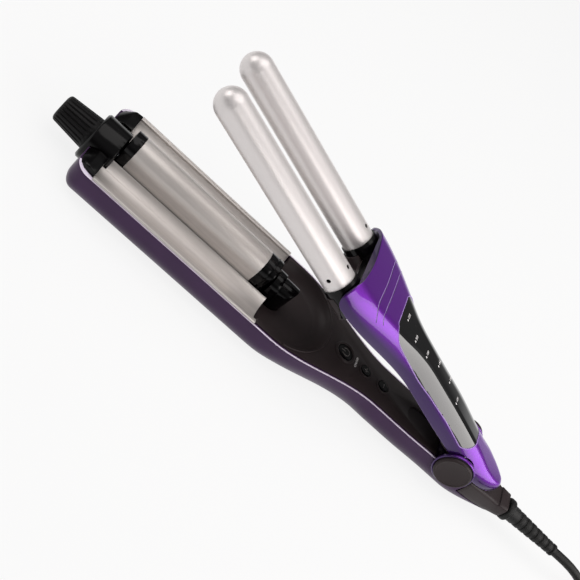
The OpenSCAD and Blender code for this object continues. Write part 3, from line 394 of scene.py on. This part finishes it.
def hood_loop(x, outer, inner):
    """Closed cross-section: outside over the top and back along the inside, with rounded feet"""
    skin = hood_path(x, outer, EDGE_LIFT)
    lining = hood_path(x, inner, EDGE_LIFT)
    feet = [hood_path(x, min(max(inset, outer), inner), rise)[0] for inset, rise in EDGE_ROUND]
    loop = skin + flip(skin[-2::-1]) + flip(feet) + flip(lining) + lining[-2::-1] + feet[::-1]
    return [(x - sweep_back(x, y), y, z) for y, z in loop]


def show(name, data, material=None):
    """A new object in the scene"""
    obj = bpy.data.objects.new(name, data)
    bpy.context.scene.collection.objects.link(obj)
    if material:
        data.materials.append(MATERIALS[material])
    return obj


def in_frame(arm):
    """From an arm's own frame to the object's frame"""
    return Matrix.Translation(HINGE) @ Matrix.Rotation(-OPEN_ANGLE if arm else 0, 4, "Y")


def mesh_object(name, verts, faces, material, arm=False):
    """A mesh from points in an arm's own frame, in millimetres from the hinge axis"""
    mesh = bpy.data.meshes.new(name)
    mesh.from_pydata([Vector(v) * MM for v in verts], [], faces)
    mesh.transform(in_frame(arm))
    shape = bmesh.new()
    shape.from_mesh(mesh)
    bmesh.ops.remove_doubles(shape, verts=shape.verts, dist=0.00001)
    bmesh.ops.recalc_face_normals(shape, faces=shape.faces)
    shape.to_mesh(mesh)
    shape.free()
    return show(name, mesh, material)


def loft(name, rings, material=None, arm=False, caps=True):
    """A skin over rings with equal numbers of points"""
    count = len(rings[0])
    last = (len(rings) - 1) * count
    faces = []
    for start in range(0, last, count):
        for j in range(count):
            a, b = start + j, start + (j + 1) % count
            faces.append((a, b, b + count, a + count))
    if caps:
        faces.append(tuple(range(count - 1, -1, -1)))
        faces.append(tuple(range(last, last + count)))
    return mesh_object(name, [p for ring in rings for p in ring], faces, material, arm)


def prism(name, outline, low, high, arm=False):
    """An upright block over an outline of (x, y)"""
    return loft(name, [[(x, y, low) for x, y in outline], [(x, y, high) for x, y in outline]], arm=arm)


def rod(name, start, end, r, sides=72, arm=False):
    """A round bar between two points, in the arm's frame"""
    a, b = Vector(start), Vector(end)
    along = (b - a).normalized()
    side = along.orthogonal().normalized()
    up = along.cross(side)
    rings = [[p + r * (c * side + s * up) for c, s in whole_turn(sides)] for p in (a, b)]
    return loft(name, rings, arm=arm)


def cut(target, cutter, operation="DIFFERENCE"):
    """Cuts one shape with another, which is then removed"""
    tool = target.modifiers.new("cut", "BOOLEAN")
    tool.object = cutter
    tool.operation = operation
    tool.solver = "EXACT"
    graph = bpy.context.evaluated_depsgraph_get()
    mesh = bpy.data.meshes.new_from_object(target.evaluated_get(graph))
    target.modifiers.clear()
    target.data = mesh
    bpy.data.objects.remove(cutter)


def smooth(obj, angle=32):
    obj.data.shade_smooth()
    obj.data.set_sharp_from_angle(angle=math.radians(angle))


def soften(obj, edge, angle=35):
    """Fine rounded edges that catch the light"""
    bevel = obj.modifiers.new("edge", "BEVEL")
    bevel.width = edge * MM
    bevel.segments = 2
    bevel.limit_method = "ANGLE"
    bevel.angle_limit = math.radians(angle)
    bevel.use_clamp_overlap = True
    graph = bpy.context.evaluated_depsgraph_get()
    obj.data = bpy.data.meshes.new_from_object(obj.evaluated_get(graph))
    obj.modifiers.clear()
    smooth(obj, 30)


def stand_for(obj, body, slot, *nodes):
    """obj rides on a body in place of CAD nodes, or beside them"""
    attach(obj, body)
    if nodes:
        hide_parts(*nodes)


def bead(name, points, r, material, arm=True, closed=True, sides=8):
    """A fine rounded line along points"""
    rings = []
    count = len(points)
    for i, p in enumerate(points):
        before = points[(i - 1) % count if closed else max(0, i - 1)]
        after = points[(i + 1) % count if closed else min(count - 1, i + 1)]
        along = (Vector(after) - Vector(before)).normalized()
        side = along.cross(Vector((0, 0, 1))).normalized()
        up = side.cross(along)
        rings.append([Vector(p) + r * (c * side + s * up) for c, s in whole_turn(sides)])
    if closed:
        rings.append(rings[0])
    obj = loft(name, rings, material, arm, caps=not closed)
    obj.data.shade_smooth()
    return obj


def dense(points, step=2.0, closed=True):
    """Extra points along an outline, so that a line can follow a curved surface"""
    out = []
    pairs = zip(points, points[1:] + points[:1]) if closed else zip(points, points[1:])
    for (x0, y0), (x1, y1) in pairs:
        n = max(1, int(math.hypot(x1 - x0, y1 - y0) / step))
        out += [(mix(x0, x1, k / n), mix(y0, y1, k / n)) for k in range(n)]
    return out if closed else out + [points[-1]]


# ---- Upper arm: hood and window -----------------------------------------------------------


def window_outline(grow):
    """Outline of the window from above: boxy rounded rear, swelling with the hood, cut corners"""
    end_r = WINDOW_R + grow
    cx, cy = WINDOW_X0 + WINDOW_R, WINDOW_HW - 1 - WINDOW_R
    rear = [(cx - end_r * c, cy + end_r * s) for c, s in arc(0, math.pi / 2, 14)]
    swell = [(28, -0.6), (40, -0.3), (56, 0), (66, 0.4), (75, 0.9), (81, 1.35), (87, 1.95), (92, 2.6),
             (96, 3.1), (99, 3.3), (101.5, 3.0), (105.5, 1.2), (WINDOW_X1 - 1.2, -1.2)]
    side = [(x, WINDOW_HW + wide + grow) for x, wide in swell]
    chamfer = [(WINDOW_X1 - 0.3, WINDOW_HW - 2.4), (WINDOW_X1, WINDOW_HW - 3.6)]
    corner = [(x + grow, y + grow * 0.5) for x, y in chamfer]
    half = rear + side + corner
    return half + [(x, -y) for x, y in reversed(half)]


def hood_surface(x, y):
    """Height of the outer hood surface at (x, y)"""
    skin = hood_path(x, 0, 0, 60, 8)
    side = abs(y)
    for (y0, z0), (y1, z1) in zip(skin, skin[1:]):
        if y1 <= side <= y0 and y0 > y1:
            return mix(z1, z0, (side - y1) / (y0 - y1))
    return skin[-1][1]


def make_hood():
    """Thin shell with a rounded nose, a swept front rim, a window seat and holes at the hinge"""
    nose = [NOSE_END + 0.15 + (NOSE_TOP - NOSE_END) * (1 - c) for c, _ in arc(0, math.pi / 2, 8)]
    corner = [HOOD_X - CORNER_R + CORNER_R * s for _, s in arc(0.18, 1.38, 7)]
    xs = nose + spread(-27.5, HOOD_WIDE, 9) + spread(0, 60, 15) + spread(63, 136, 24) + [138, 139.5]
    xs += [x for x in corner if x < HOOD_X - 0.5] + [HOOD_X - 0.5]
    thick_x = NOSE_END + 7
    rings = [hood_loop(x, 0, mix(0.5, WALL, ease(x, NOSE_END, thick_x))) for x in xs]
    rings += [hood_loop(HOOD_X - back, inset, WALL - inset) for back, inset in ((0.15, 0.13), (0.02, 0.5))]
    hood = loft("hood", rings, "purple_gloss", arm=True)
    cut(hood, prism("window_cut", window_outline(0.25), 9, 40, arm=True))
    for side in (1, -1):
        cut(hood, rod("hinge_cut", (0, side * 11.5, 0), (0, side * 20, 0), HINGE_HOLE_R, arm=True))
    smooth(hood)
    stand_for(hood, "upper_arm", "purple_gloss", "upper_shell")


def make_window_edge_highlight():
    """Painted highlight: a bright violet bead round the window's seat"""
    line = [(x, y, hood_surface(x, y) - 0.12) for x, y in dense(window_outline(0.25))]
    stand_for(bead("window_edge", line, 0.34, "violet_painted_highlight"), "upper_arm", "purple_gloss")


def make_lens():
    """Glossy window, laid into the hood a fit's gap below its surface"""
    rings = []
    for x in spread(WINDOW_X0 - 2, WINDOW_X1 + 2, 40):
        skin, back = hood_path(x, FIT, 3, 20, 8), hood_path(x, WALL, 3, 20, 8)
        loop = skin + flip(skin[-2::-1]) + flip(back) + back[-2::-1]
        rings.append([(x, y, z) for y, z in loop])
    lens = loft("lens", rings, "window_black", arm=True)
    cut(lens, prism("lens_cut", window_outline(0), 10.1, 40, arm=True), "INTERSECT")
    smooth(lens)
    stand_for(lens, "upper_arm", "gloss_black", "display_window")


def make_hood_lines():
    """The two fine joints across the hood in front of the window, each with a painted highlight: a bright
    violet bead along one edge
    """
    front = [(130, 0), (130, 8), (129.9, 14), (129.4, 19.1), (128.5, 21.4), (127.1, 23.3),
             (124.8, 25.1), (121.6, 26.7)]
    rear = [(122, 0), (122, 8), (121.9, 15), (121.3, 20.7), (119.6, 22.6), (117.1, 23.9)]
    for name, half in (("front_joint", front), ("rear_joint", rear)):
        line = dense([(x, -y) for x, y in reversed(half[1:])] + half, closed=False)
        # Each joint is a dark bead with a painted highlight bead half a millimetre towards the tip
        for part, shift, material in (("", 0, "deep_purple"), ("_glint", 0.5, "violet_painted_highlight")):
            points = [(x + shift - sweep_back(x, y), y, hood_surface(x + shift, y) - LINE_SINK)
                      for x, y in line]
            joint = bead(name + part, points, LINE_R, material, closed=False)
            stand_for(joint, "upper_arm", "purple_gloss")


def make_hood_edge_highlights():
    """Painted highlight: a fine bright violet line along each foot of the hood and round its nose"""
    for side, name in ((1, "left_hood_edge"), (-1, "right_hood_edge")):
        points = [(x, side * (hood_hw(x) - 0.45), hood_low(x) + 0.22) for x in spread(14, 136, 50)]
        stand_for(bead(name, points, EDGE_R, "violet_painted_highlight", closed=False), "upper_arm", "purple_gloss")
    half = [(x, hood_hw(x) - 0.4, hood_low(x) + 0.25) for x in spread(-13, -32.7, 16)]
    around = half + [(x, -y, z) for x, y, z in reversed(half)]
    stand_for(bead("nose_edge", around, EDGE_R, "violet_painted_highlight", closed=False), "upper_arm", "purple_gloss")


def make_boss_rings():
    """Purple collars of the upper arm round the two hinge caps, the far one slimmer"""
    left = [(11.95, 15.5), (13.0, 15.5), (13.35, 15.9), (13.35, 17.2), (13.15, 17.7),
            (12.75, 17.95), (12.3, 17.9), (11.95, 17.6)]
    right = [(11.95, 15.0), (12.4, 15.0), (12.6, 15.3), (12.6, 15.9), (12.5, 16.1), (12.3, 16.25),
             (11.95, 16.1)]
    for side, name, profile in ((1, "left_boss", left), (-1, "right_boss", right)):
        rings = [[(r * c, side * y, r * s) for r, y in profile] for c, s in arc(0, 2 * math.pi, 96)]
        boss = loft(name, rings, "purple_gloss", arm=True, caps=False)
        smooth(boss, 50)
        stand_for(boss, "upper_arm", "purple_gloss")


# ---- Lower arm: tub, rim, bowl and tip ----------------------------------------------------


def tub_hw(x):
    if x > TIP_X - TIP_R:
        return HEAD_HW - TIP_R + math.sqrt(max(0, TIP_R ** 2 - (x - TIP_X + TIP_R) ** 2))
    if x > HANDLE_REAR:
        return arm_hw(x)
    return HANDLE_HW - WAIST - TAIL_TAPER * ease(-x, -HANDLE_REAR, -TAIL_END)


def tub_bottom(x):
    tip = max(0, x - TIP_X + TIP_R) / TIP_R
    tail = max(0, HANDLE_REAR - x) / (HANDLE_REAR - TAIL_END)
    return FLOOR_Z + TIP_RISE * tip ** 3 + TAIL_RISE * tail ** 1.4


def tub_edge_r(x):
    bulge = 3 * math.sin(math.pi * min(1, max(0, (x - 62) / 80)))
    tip, tail = ease(x, TIP_X - TIP_R, TIP_X), ease(-x, -HANDLE_REAR, -TAIL_END)
    return mix(15, 13.5, ease(x, 125, 150)) + bulge - 4 * tip - 8 * tail


def tub_ring(x, inset, top, rounded=True):
    """Cross-section of the tub, with a rounded rim or a sharp one"""
    hw, bottom = tub_hw(x) - inset, tub_bottom(x) + inset
    r = max(2, tub_edge_r(x) - inset)
    rim = ((0.5, 0), (0.22, 0.06), (0.06, 0.22), (0, 0.5)) if rounded else ((0, 0),)
    half = [(hw - back, top - drop) for back, drop in rim]
    half += [(hw, z) for z in spread(half[-1][1], bottom + r, 4)[1:-1]]
    half += [(hw - r + r * c, bottom + r - r * s) for c, s in arc(0, math.pi / 2, 26)]
    return [(x, y, z) for y, z in half + flip(half[::-1])]


def make_tub():
    """Lower shell with its room, the tail's seat, the dial's mouth, hinge holes and screw wells"""
    corner = [TIP_X - TIP_R * (1 - s) for _, s in arc(0, math.pi / 2, 16)]
    corner[-1] = TIP_X - 0.002
    xs = spread(-46, HANDLE_REAR, 10) + spread(-4, 60, 14) + spread(64, 150, 24)
    xs += spread(156, 274, 20) + corner
    tub = loft("tub", [tub_ring(x, 0, RIM_Z) for x in xs], "plum_plastic")
    inner = [-48] + [x for x in xs if x < TIP_X - WALL] + [TIP_X - WALL]
    cut(tub, loft("tub_room", [tub_ring(x, WALL, RIM_Z + 6, rounded=False) for x in inner]))

    far, high = 60, 20
    far_x = TAIL_X - far * math.cos(TAIL_LEAN)
    tail = [(TAIL_X, TAIL_Z), (far_x, TAIL_Z - far * math.sin(TAIL_LEAN)), (far_x, high),
            (TAIL_X - (high - TAIL_Z) * math.sin(TAIL_LEAN), high)]
    cut(tub, loft("tail_cut", [[(x, side, z) for x, z in tail] for side in (-40, 40)]))

    mouth_r = DIAL_R + FIT
    cut(tub, rod("dial_cut", (271, 0, DIAL_Z), (290, 0, DIAL_Z), mouth_r))
    mouth = [(281, -mouth_r), (290, -mouth_r), (290, mouth_r), (281, mouth_r)]
    cut(tub, prism("mouth_cut", mouth, DIAL_Z, 4))
    for side in (1, -1):
        cut(tub, rod("cap_cut", (0, side * 12.5, 0), (0, side * 20, 0), HINGE_HOLE_R))
    for x, y in SCREWS:
        z = tub_bottom(x)
        cut(tub, rod("screw_cut", (x, y, z - 1), (x, y, z + SCREW_SINK), SCREW_HEAD_R, 40))
        cut(tub, rod("screw_bore", (x, y, z), (x, y, z + 5), SCREW_BORE_R, 32))
    smooth(tub)
    stand_for(tub, "lower_arm", "plum_plastic", "lower_shell")


def rim_point(x, inset):
    """A point of the tub's outline from above, moved inwards"""
    if x > TIP_X - TIP_R:
        a = math.asin(min(1, (x - TIP_X + TIP_R) / TIP_R))
        r = TIP_R - inset
        return TIP_X - TIP_R + r * math.sin(a), HEAD_HW - TIP_R + r * math.cos(a)
    return x, tub_hw(x) - inset


def make_painted_rim_highlights():
    """Painted highlight: a near-white lilac band on the tub's rim, broadest round the corners of the tip"""
    stations = spread(12, 60, 8) + spread(64, 150, 20) + spread(158, 270, 8) + spread(272, 276.5, 4)
    stations += [TIP_X - TIP_R * (1 - s) for _, s in arc(0.1, 1.38, 12)]
    for side, name in ((1, "left_rim_painted_highlight"), (-1, "right_rim_painted_highlight")):
        rings = []
        for x in stations:
            width = mix(1.1, 2.9, ease(x, 266, 279)) * mix(1, 0.45, ease(x, 282.5, TIP_X))
            section = [(0.2, -0.5), (0.12, -0.18), (0.24, 0.02), (0.5, 0.12), (width, 0.12),
                       (width + 0.3, -0.5)]
            ring = []
            for inset, rise in section:
                px, py = rim_point(x, inset)
                ring.append((px, side * py, RIM_Z + rise))
            rings.append(ring)
        line = loft(name, rings, "lilac_painted_highlight")
        smooth(line, 50)
        stand_for(line, "lower_arm", "plum_plastic")


def make_bowl_lip():
    """Raised lip of the deck round its bowl"""
    r = BOWL_R + 0.4
    points = [(BOWL_X + r * c, r * s, DECK_Z + 0.05) for c, s in arc(1.78, 4.5, 60)]
    lip = bead("bowl_lip", points, LIP_R, "black_plastic", arm=False, closed=False)
    stand_for(lip, "lower_arm", "black_plastic")


def make_tip_caps():
    """Sloped black end blocks of the troughs"""
    foot = [(273.8, 15.9), (285.7, 15.9), (285.4, 24.8), (283.9, 29), (280.5, 31.5), (273.8, 32.2)]
    top = [(273.8, 15.9), (279.6, 15.9), (279.5, 28.6), (279.1, 30.6), (278, 31.4), (273.8, 32)]
    for side, name in ((1, "left_tip_cap"), (-1, "right_tip_cap")):
        rings = [[(x, side * y, z) for x, y in outline] for outline, z in ((foot, -3.15), (top, 0.3))]
        block = loft(name + "_look", rings, "gloss_black")
        soften(block, 0.3, 25)
        stand_for(block, "lower_arm", "gloss_black", name)


def knob_r(x):
    """Radius of the knob: a chamfered base, a taper and a rounded end"""
    end_round = 3
    if x <= KNOB_X1:
        r = mix(KNOB_R0, KNOB_R1, (x - KNOB_X0) / (KNOB_X1 - KNOB_X0))
    else:
        r = KNOB_R1 - end_round + end_round * math.sqrt(max(0, 1 - ((x - KNOB_X1) / KNOB_END_L) ** 2))
    return min(r, KNOB_R0 - 0.2 + (x - KNOB_X0 + 1) * 2)


def make_knob():
    """Tapered grip with deep flutes and a rounded end"""
    flutes, per_flute, flute_depth = 22, 8, 0.75
    stations = [KNOB_X0 - 1, KNOB_X0 - 0.9, KNOB_X0] + spread(KNOB_X0 + 0.9, KNOB_X1, 16)
    stations += [KNOB_X1 + KNOB_END_L * k for k in (0.3, 0.6, 0.85, 0.99)]
    rings = []
    for x in stations:
        run_in, run_out = ease(x, KNOB_X0 + 0.6, KNOB_X0 + 2.2), ease(x, KNOB_X1 - 0.6, KNOB_X1 + 1.6)
        depth = flute_depth * run_in * (1 - run_out)
        ring = []
        for k in range(flutes * per_flute):
            t = 2 * math.pi * k / (flutes * per_flute)
            r = knob_r(x) - depth * max(0, math.cos(flutes * t)) ** 0.8
            ring.append((x, r * math.cos(t), DIAL_Z + r * math.sin(t)))
        rings.append(ring)
    knob = loft("knob", rings, "matte_black")
    smooth(knob, 40)
    stand_for(knob, BODY_OF["dial_knob"], SLOT_OF["dial_knob"], "dial_knob")


make_hood()
make_window_edge_highlight()
make_lens()
make_hood_lines()
make_hood_edge_highlights()
make_boss_rings()
make_tub()
make_painted_rim_highlights()
make_bowl_lip()
make_tip_caps()
make_knob()

# ---- CAD pieces with softened edges -------------------------------------------------------

# How far the edges are rounded, in millimetres
REFINED = {
    "control_deck": 0.25, "left_trough": 0.2, "right_trough": 0.2, "dial_housing": 0.3, "rear_guide": 0.4,
    "tail_housing": 0.5, "middle_barrel": 0.15, "front_barrel_cap": 0.3, "rear_barrel_cap": 0.3,
    "barrel_mount": 0.25, "inner_cover": 0.2, "left_hinge_cap": 0.4, "right_hinge_cap": 0.4,
    "power_button": 0.25, "plus_button": 0.2, "minus_button": 0.2, "strain_relief": 0.25, "plug": 0.4,
}


def refine(node, edge):
    """The same shape as a CAD node, with softened edges"""
    obj = show(node + "_look", frame["nodes"][node].data.copy())
    shape = bmesh.new()
    shape.from_mesh(obj.data)
    bmesh.ops.remove_doubles(shape, verts=shape.verts, dist=0.00002)
    bmesh.ops.dissolve_limit(shape, angle_limit=math.radians(0.05), verts=shape.verts, edges=shape.edges)
    shape.to_mesh(obj.data)
    shape.free()
    soften(obj, edge)
    stand_for(obj, BODY_OF[node], SLOT_OF[node], node)
    return obj


def trim_cover_corners(cover):
    """Takes off the two corners that would touch the deck when the arms close"""
    x0, x1, y0, y1 = 127, 130.6, 27.2, 29.6
    for low, high in ((y0, y1), (-y1, -y0)):
        corner = [(x0, low), (x1, low), (x1, high), (x0, high)]
        cut(cover, prism("corner_cut", corner, -9, -3.6, arm=True))


refined = {node: refine(node, edge) for node, edge in REFINED.items()}
trim_cover_corners(refined["inner_cover"])
# Painted shade: the barrel screws are painted near-black and matte, standing for the shade inside their holes
paint("barrel_screws", "hole_shade_black")

# ---- Marks --------------------------------------------------------------------------------

POWER_X, PLUS_X, MINUS_X = 95.7, 78.5, 63.8
BUTTON_RISE, BUTTON_CROWN_R = 1.1, 30
SYMBOL_LIFT, PRINT_T = 0.02, 0.03
QUARTER = Matrix(((0, 1, 0, 0), (-1, 0, 0, 0), (0, 0, 1, 0), (0, 0, 0, 1)))


def label(name, text, size, place, material, arm=False):
    """Flat printed text that reads towards -Y with its top towards the tip"""
    curve = bpy.data.curves.new(name, "FONT")
    curve.body = text
    curve.size = size * MM
    curve.align_x = "CENTER"
    curve.align_y = "CENTER"
    curve.extrude = PRINT_T * MM
    curve.resolution_u = 3
    flat = show(name, curve)
    graph = bpy.context.evaluated_depsgraph_get()
    mesh = bpy.data.meshes.new_from_object(flat.evaluated_get(graph))
    bpy.data.objects.remove(flat)
    mesh.transform(in_frame(arm) @ Matrix.Translation(Vector(place) * MM) @ QUARTER)
    mesh.materials.clear()
    return show(name, mesh, material)


def merge(name, pieces, material):
    """One mesh out of several that share a material"""
    shape = bmesh.new()
    for piece in pieces:
        shape.from_mesh(piece.data)
        bpy.data.objects.remove(piece)
    mesh = bpy.data.meshes.new(name)
    shape.to_mesh(mesh)
    shape.free()
    return show(name, mesh, material)


def make_window_marks():
    """A dot and a temperature beside each lamp"""
    dots = [(102, 1.7), (90, 6.7), (77.3, 6), (64.9, 0), (50.8, -1.4), (39.1, 4.3)]
    dot_r, number_size, apart = 0.62, 2.5, 3.5
    pieces = []
    for (x, y), text in zip(dots, ("220", "200", "180", "160", "140", "120")):
        z = hood_surface(x, y) - 0.18
        pieces.append(rod("dot", (x, y, z - 0.2), (x, y, z + PRINT_T), dot_r, 24, arm=True))
        place = (x, y - apart, hood_surface(x, y - apart) - 0.17)
        pieces.append(label("number", text, number_size, place, "print_white", True))
    stand_for(merge("window_marks", pieces, "print_white"), "upper_arm", "gloss_black")


def on_button(r):
    """Height of a raised symbol on a button's crowned top, at a distance from its middle"""
    return DECK_Z + BUTTON_RISE - r * r / (2 * BUTTON_CROWN_R) + SYMBOL_LIFT


def make_button_marks():
    """Raised symbols on the three buttons and a printed switch label on the deck"""
    ring_r, gap, thick, thin = 2.7, 0.7, 0.3, 0.26
    ring = [(POWER_X + ring_r * c, ring_r * s, on_button(ring_r)) for c, s in arc(gap, 2 * math.pi - gap, 30)]
    bar = [(POWER_X + r, 0, on_button(r)) for r in spread(0.4, 3.3, 5)]
    power = [bead("stroke", points, thick, None, False, False) for points in (ring, bar)]
    stand_for(merge("power_symbol", power, "print_grey"), BODY_OF["power_button"], "gloss_black")
    for node, x, turns in (("plus_button", PLUS_X, (0, 1)), ("minus_button", MINUS_X, (1,))):
        bars = []
        for turn in turns:
            line = [(x + s * (1 - turn), s * turn, on_button(s)) for s in spread(-1.6, 1.6, 6)]
            bars.append(bead("bar", line, thin, None, False, False))
        stand_for(merge(node + "_symbol", bars, "print_grey"), BODY_OF[node], "gloss_black")
    switch = label("switch_label", "ON/OFF", 2.3, (86.1, -0.6, DECK_Z + PRINT_T), "print_white")
    stand_for(switch, "lower_arm", "black_plastic")


make_window_marks()
make_button_marks()

# ---- Stage --------------------------------------------------------------------------------

FLOOR_HW = 30
FLOOR_GREY = 0.75
FLOOR_SHARE = 0.85
LAMP_COLOUR = (1, 0.97, 0.955)

# Each lamp's place, what it points at, its size and its power
LAMPS = {
    "top_light": ((0.15, -0.1, 1.15), (0.1, 0, 0), (1.2, 1.0), 6),
    "side_light": ((-0.74, 0.30, 0.55), (0.12, 0.05, 0.05), (1.45, 0.6), 8.6),
    "tip_light": ((0.95, -0.1, 0.55), (0.15, 0, 0), (0.5, 0.5), 2),
}

# Brightness of the studio by the height of a direction, from the horizon to straight up
STUDIO_TONES = ((0, 0.9), (0.07, 0.72), (0.24, 0.08), (0.42, 0.1), (0.62, 0.3), (1, 0.3))


def seen_directly(nodes, links, share):
    """How much a ray that shows the backdrop sees of it: camera, glossy and clear rays"""
    path = nodes.new("ShaderNodeLightPath")
    seen = path.outputs["Is Camera Ray"]
    for kind in ("Is Glossy Ray", "Is Transmission Ray"):
        both = nodes.new("ShaderNodeMath")
        both.operation = "MAXIMUM"
        links.new(seen, both.inputs[0])
        links.new(path.outputs[kind], both.inputs[1])
        seen = both.outputs[0]
    part = nodes.new("ShaderNodeMath")
    part.operation = "MULTIPLY"
    part.inputs[1].default_value = share
    links.new(seen, part.inputs[0])
    return part.outputs[0]


def make_world():
    """A studio that is pale at the horizon, dark above it and grey overhead"""
    world = bpy.data.worlds.new("studio")
    bpy.context.scene.world = world
    world.use_nodes = True
    nodes, links = world.node_tree.nodes, world.node_tree.links
    coord = nodes.new("ShaderNodeTexCoord")
    height = nodes.new("ShaderNodeSeparateXYZ")
    links.new(coord.outputs["Generated"], height.inputs[0])
    tone = nodes.new("ShaderNodeValToRGB")
    while len(tone.color_ramp.elements) < len(STUDIO_TONES):
        tone.color_ramp.elements.new(0.5)
    for element, (place, value) in zip(tone.color_ramp.elements, STUDIO_TONES):
        element.position = place
        element.color = grey(value)
    links.new(height.outputs["Z"], tone.inputs["Fac"])
    links.new(tone.outputs["Color"], nodes["Background"].inputs["Color"])


def make_floor():
    """Pale floor that keeps the object's shadow and shows white where it is seen directly"""
    mesh = bpy.data.meshes.new("floor")
    corners = [(x * FLOOR_HW, y * FLOOR_HW, 0) for x, y in ((-1, -1), (1, -1), (1, 1), (-1, 1))]
    mesh.from_pydata(corners, [], [(0, 1, 2, 3)])
    floor = show("floor", mesh)
    mat = bpy.data.materials.new("floor_white")
    mat.use_nodes = True
    nodes, links = mat.node_tree.nodes, mat.node_tree.links
    surface = nodes["Principled BSDF"]
    surface.inputs["Base Color"].default_value = grey(FLOOR_GREY)
    surface.inputs["Roughness"].default_value = 0.9
    surface.inputs["Specular IOR Level"].default_value = 0.0
    glow = nodes.new("ShaderNodeEmission")
    glow.inputs["Color"].default_value = grey(1)
    glow.inputs["Strength"].default_value = 1.0
    mixer = nodes.new("ShaderNodeMixShader")
    links.new(seen_directly(nodes, links, FLOOR_SHARE), mixer.inputs["Fac"])
    links.new(surface.outputs[0], mixer.inputs[1])
    links.new(glow.outputs[0], mixer.inputs[2])
    links.new(mixer.outputs[0], nodes["Material Output"].inputs["Surface"])
    mesh.materials.append(mat)


def area_light(name, at, aim, size, power):
    data = bpy.data.lights.new(name, "AREA")
    data.shape = "RECTANGLE"
    data.size, data.size_y = size
    data.energy = power
    data.color = LAMP_COLOUR
    lamp = show(name, data)
    lamp.location = at
    lamp.rotation_mode = "QUATERNION"
    lamp.rotation_quaternion = (Vector(aim) - Vector(at)).to_track_quat("-Z", "Y")


make_world()
make_floor()
for lamp_name, lamp_facts in LAMPS.items():
    area_light(lamp_name, *lamp_facts)
bpy.context.scene.view_settings.view_transform = "Standard"

# ---- Cord ---------------------------------------------------------------------------------

# Millimetres in the object's frame; the cord falls from the relief to the coil as (x, height)
CORD_D = 6
CORD_FALL = [
    (-97, 17), (-103, 17), (-109, 16.9), (-115, 16.4), (-121, 15.3), (-127, 13.5), (-133, 11.2),
    (-139, 8.7), (-145, 6.4), (-151, 4.7), (-157, 3.6), (-163, 3.1), (-169, 3), (-175, 3), (-181, 3),
]
COIL_CENTRE = (-186, 24)
COIL_PITCH = 6.2
COIL_INNER_R = 25.85
LAYER_TURNS = 3.25
COIL_OUTER_R = COIL_INNER_R + COIL_PITCH * LAYER_TURNS
COIL_LOW, COIL_HIGH = 3, 9.1
LEAD_END = (-160, 70, COIL_HIGH)


def coil_points():
    """Inwards along the lower layer, one turn up, outwards along the upper layer"""
    per_turn = 36
    total = 2 * LAYER_TURNS + 1
    points = []
    for i in range(int(total * per_turn) + 1):
        turn = i / per_turn
        inward = max(0, LAYER_TURNS - turn)
        outward = max(0, turn - LAYER_TURNS - 1)
        radius = COIL_INNER_R + COIL_PITCH * (inward + outward)
        climb = min(1, max(0, turn - LAYER_TURNS))
        height = COIL_LOW + (COIL_HIGH - COIL_LOW) * climb * climb * (3 - 2 * climb)
        angle = -math.pi / 2 - 2 * math.pi * turn
        points.append((COIL_CENTRE[0] + radius * math.cos(angle),
                       COIL_CENTRE[1] + radius * math.sin(angle), height))
    return points


def make_cord():
    """From the relief down to the table, into the coil and out to the plug"""
    coil_edge = COIL_CENTRE[1] - COIL_OUTER_R
    route = [(x, coil_edge * ease(-x, 127, 169), z) for x, z in CORD_FALL]
    coil = coil_points()
    lead = [(mix(coil[-1][0], LEAD_END[0], k), LEAD_END[1], LEAD_END[2]) for k in (0.35, 0.7, 1)]
    points = [Vector(p) * MM for p in route + coil + lead]
    data = bpy.data.curves.new("mains_cord", "CURVE")
    data.dimensions = "3D"
    spline = data.splines.new("POLY")
    spline.points.add(len(points) - 1)
    for target, p in zip(spline.points, points):
        target.co = (*p, 1)
    data.bevel_depth = CORD_D / 2 * MM
    data.bevel_resolution = 5
    data.use_fill_caps = True
    cord = show("mains_cord", data, "cord_rubber")
    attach(cord, "lower_arm")
    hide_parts("power_cord", "cord_coil", "plug_lead")


make_cord()
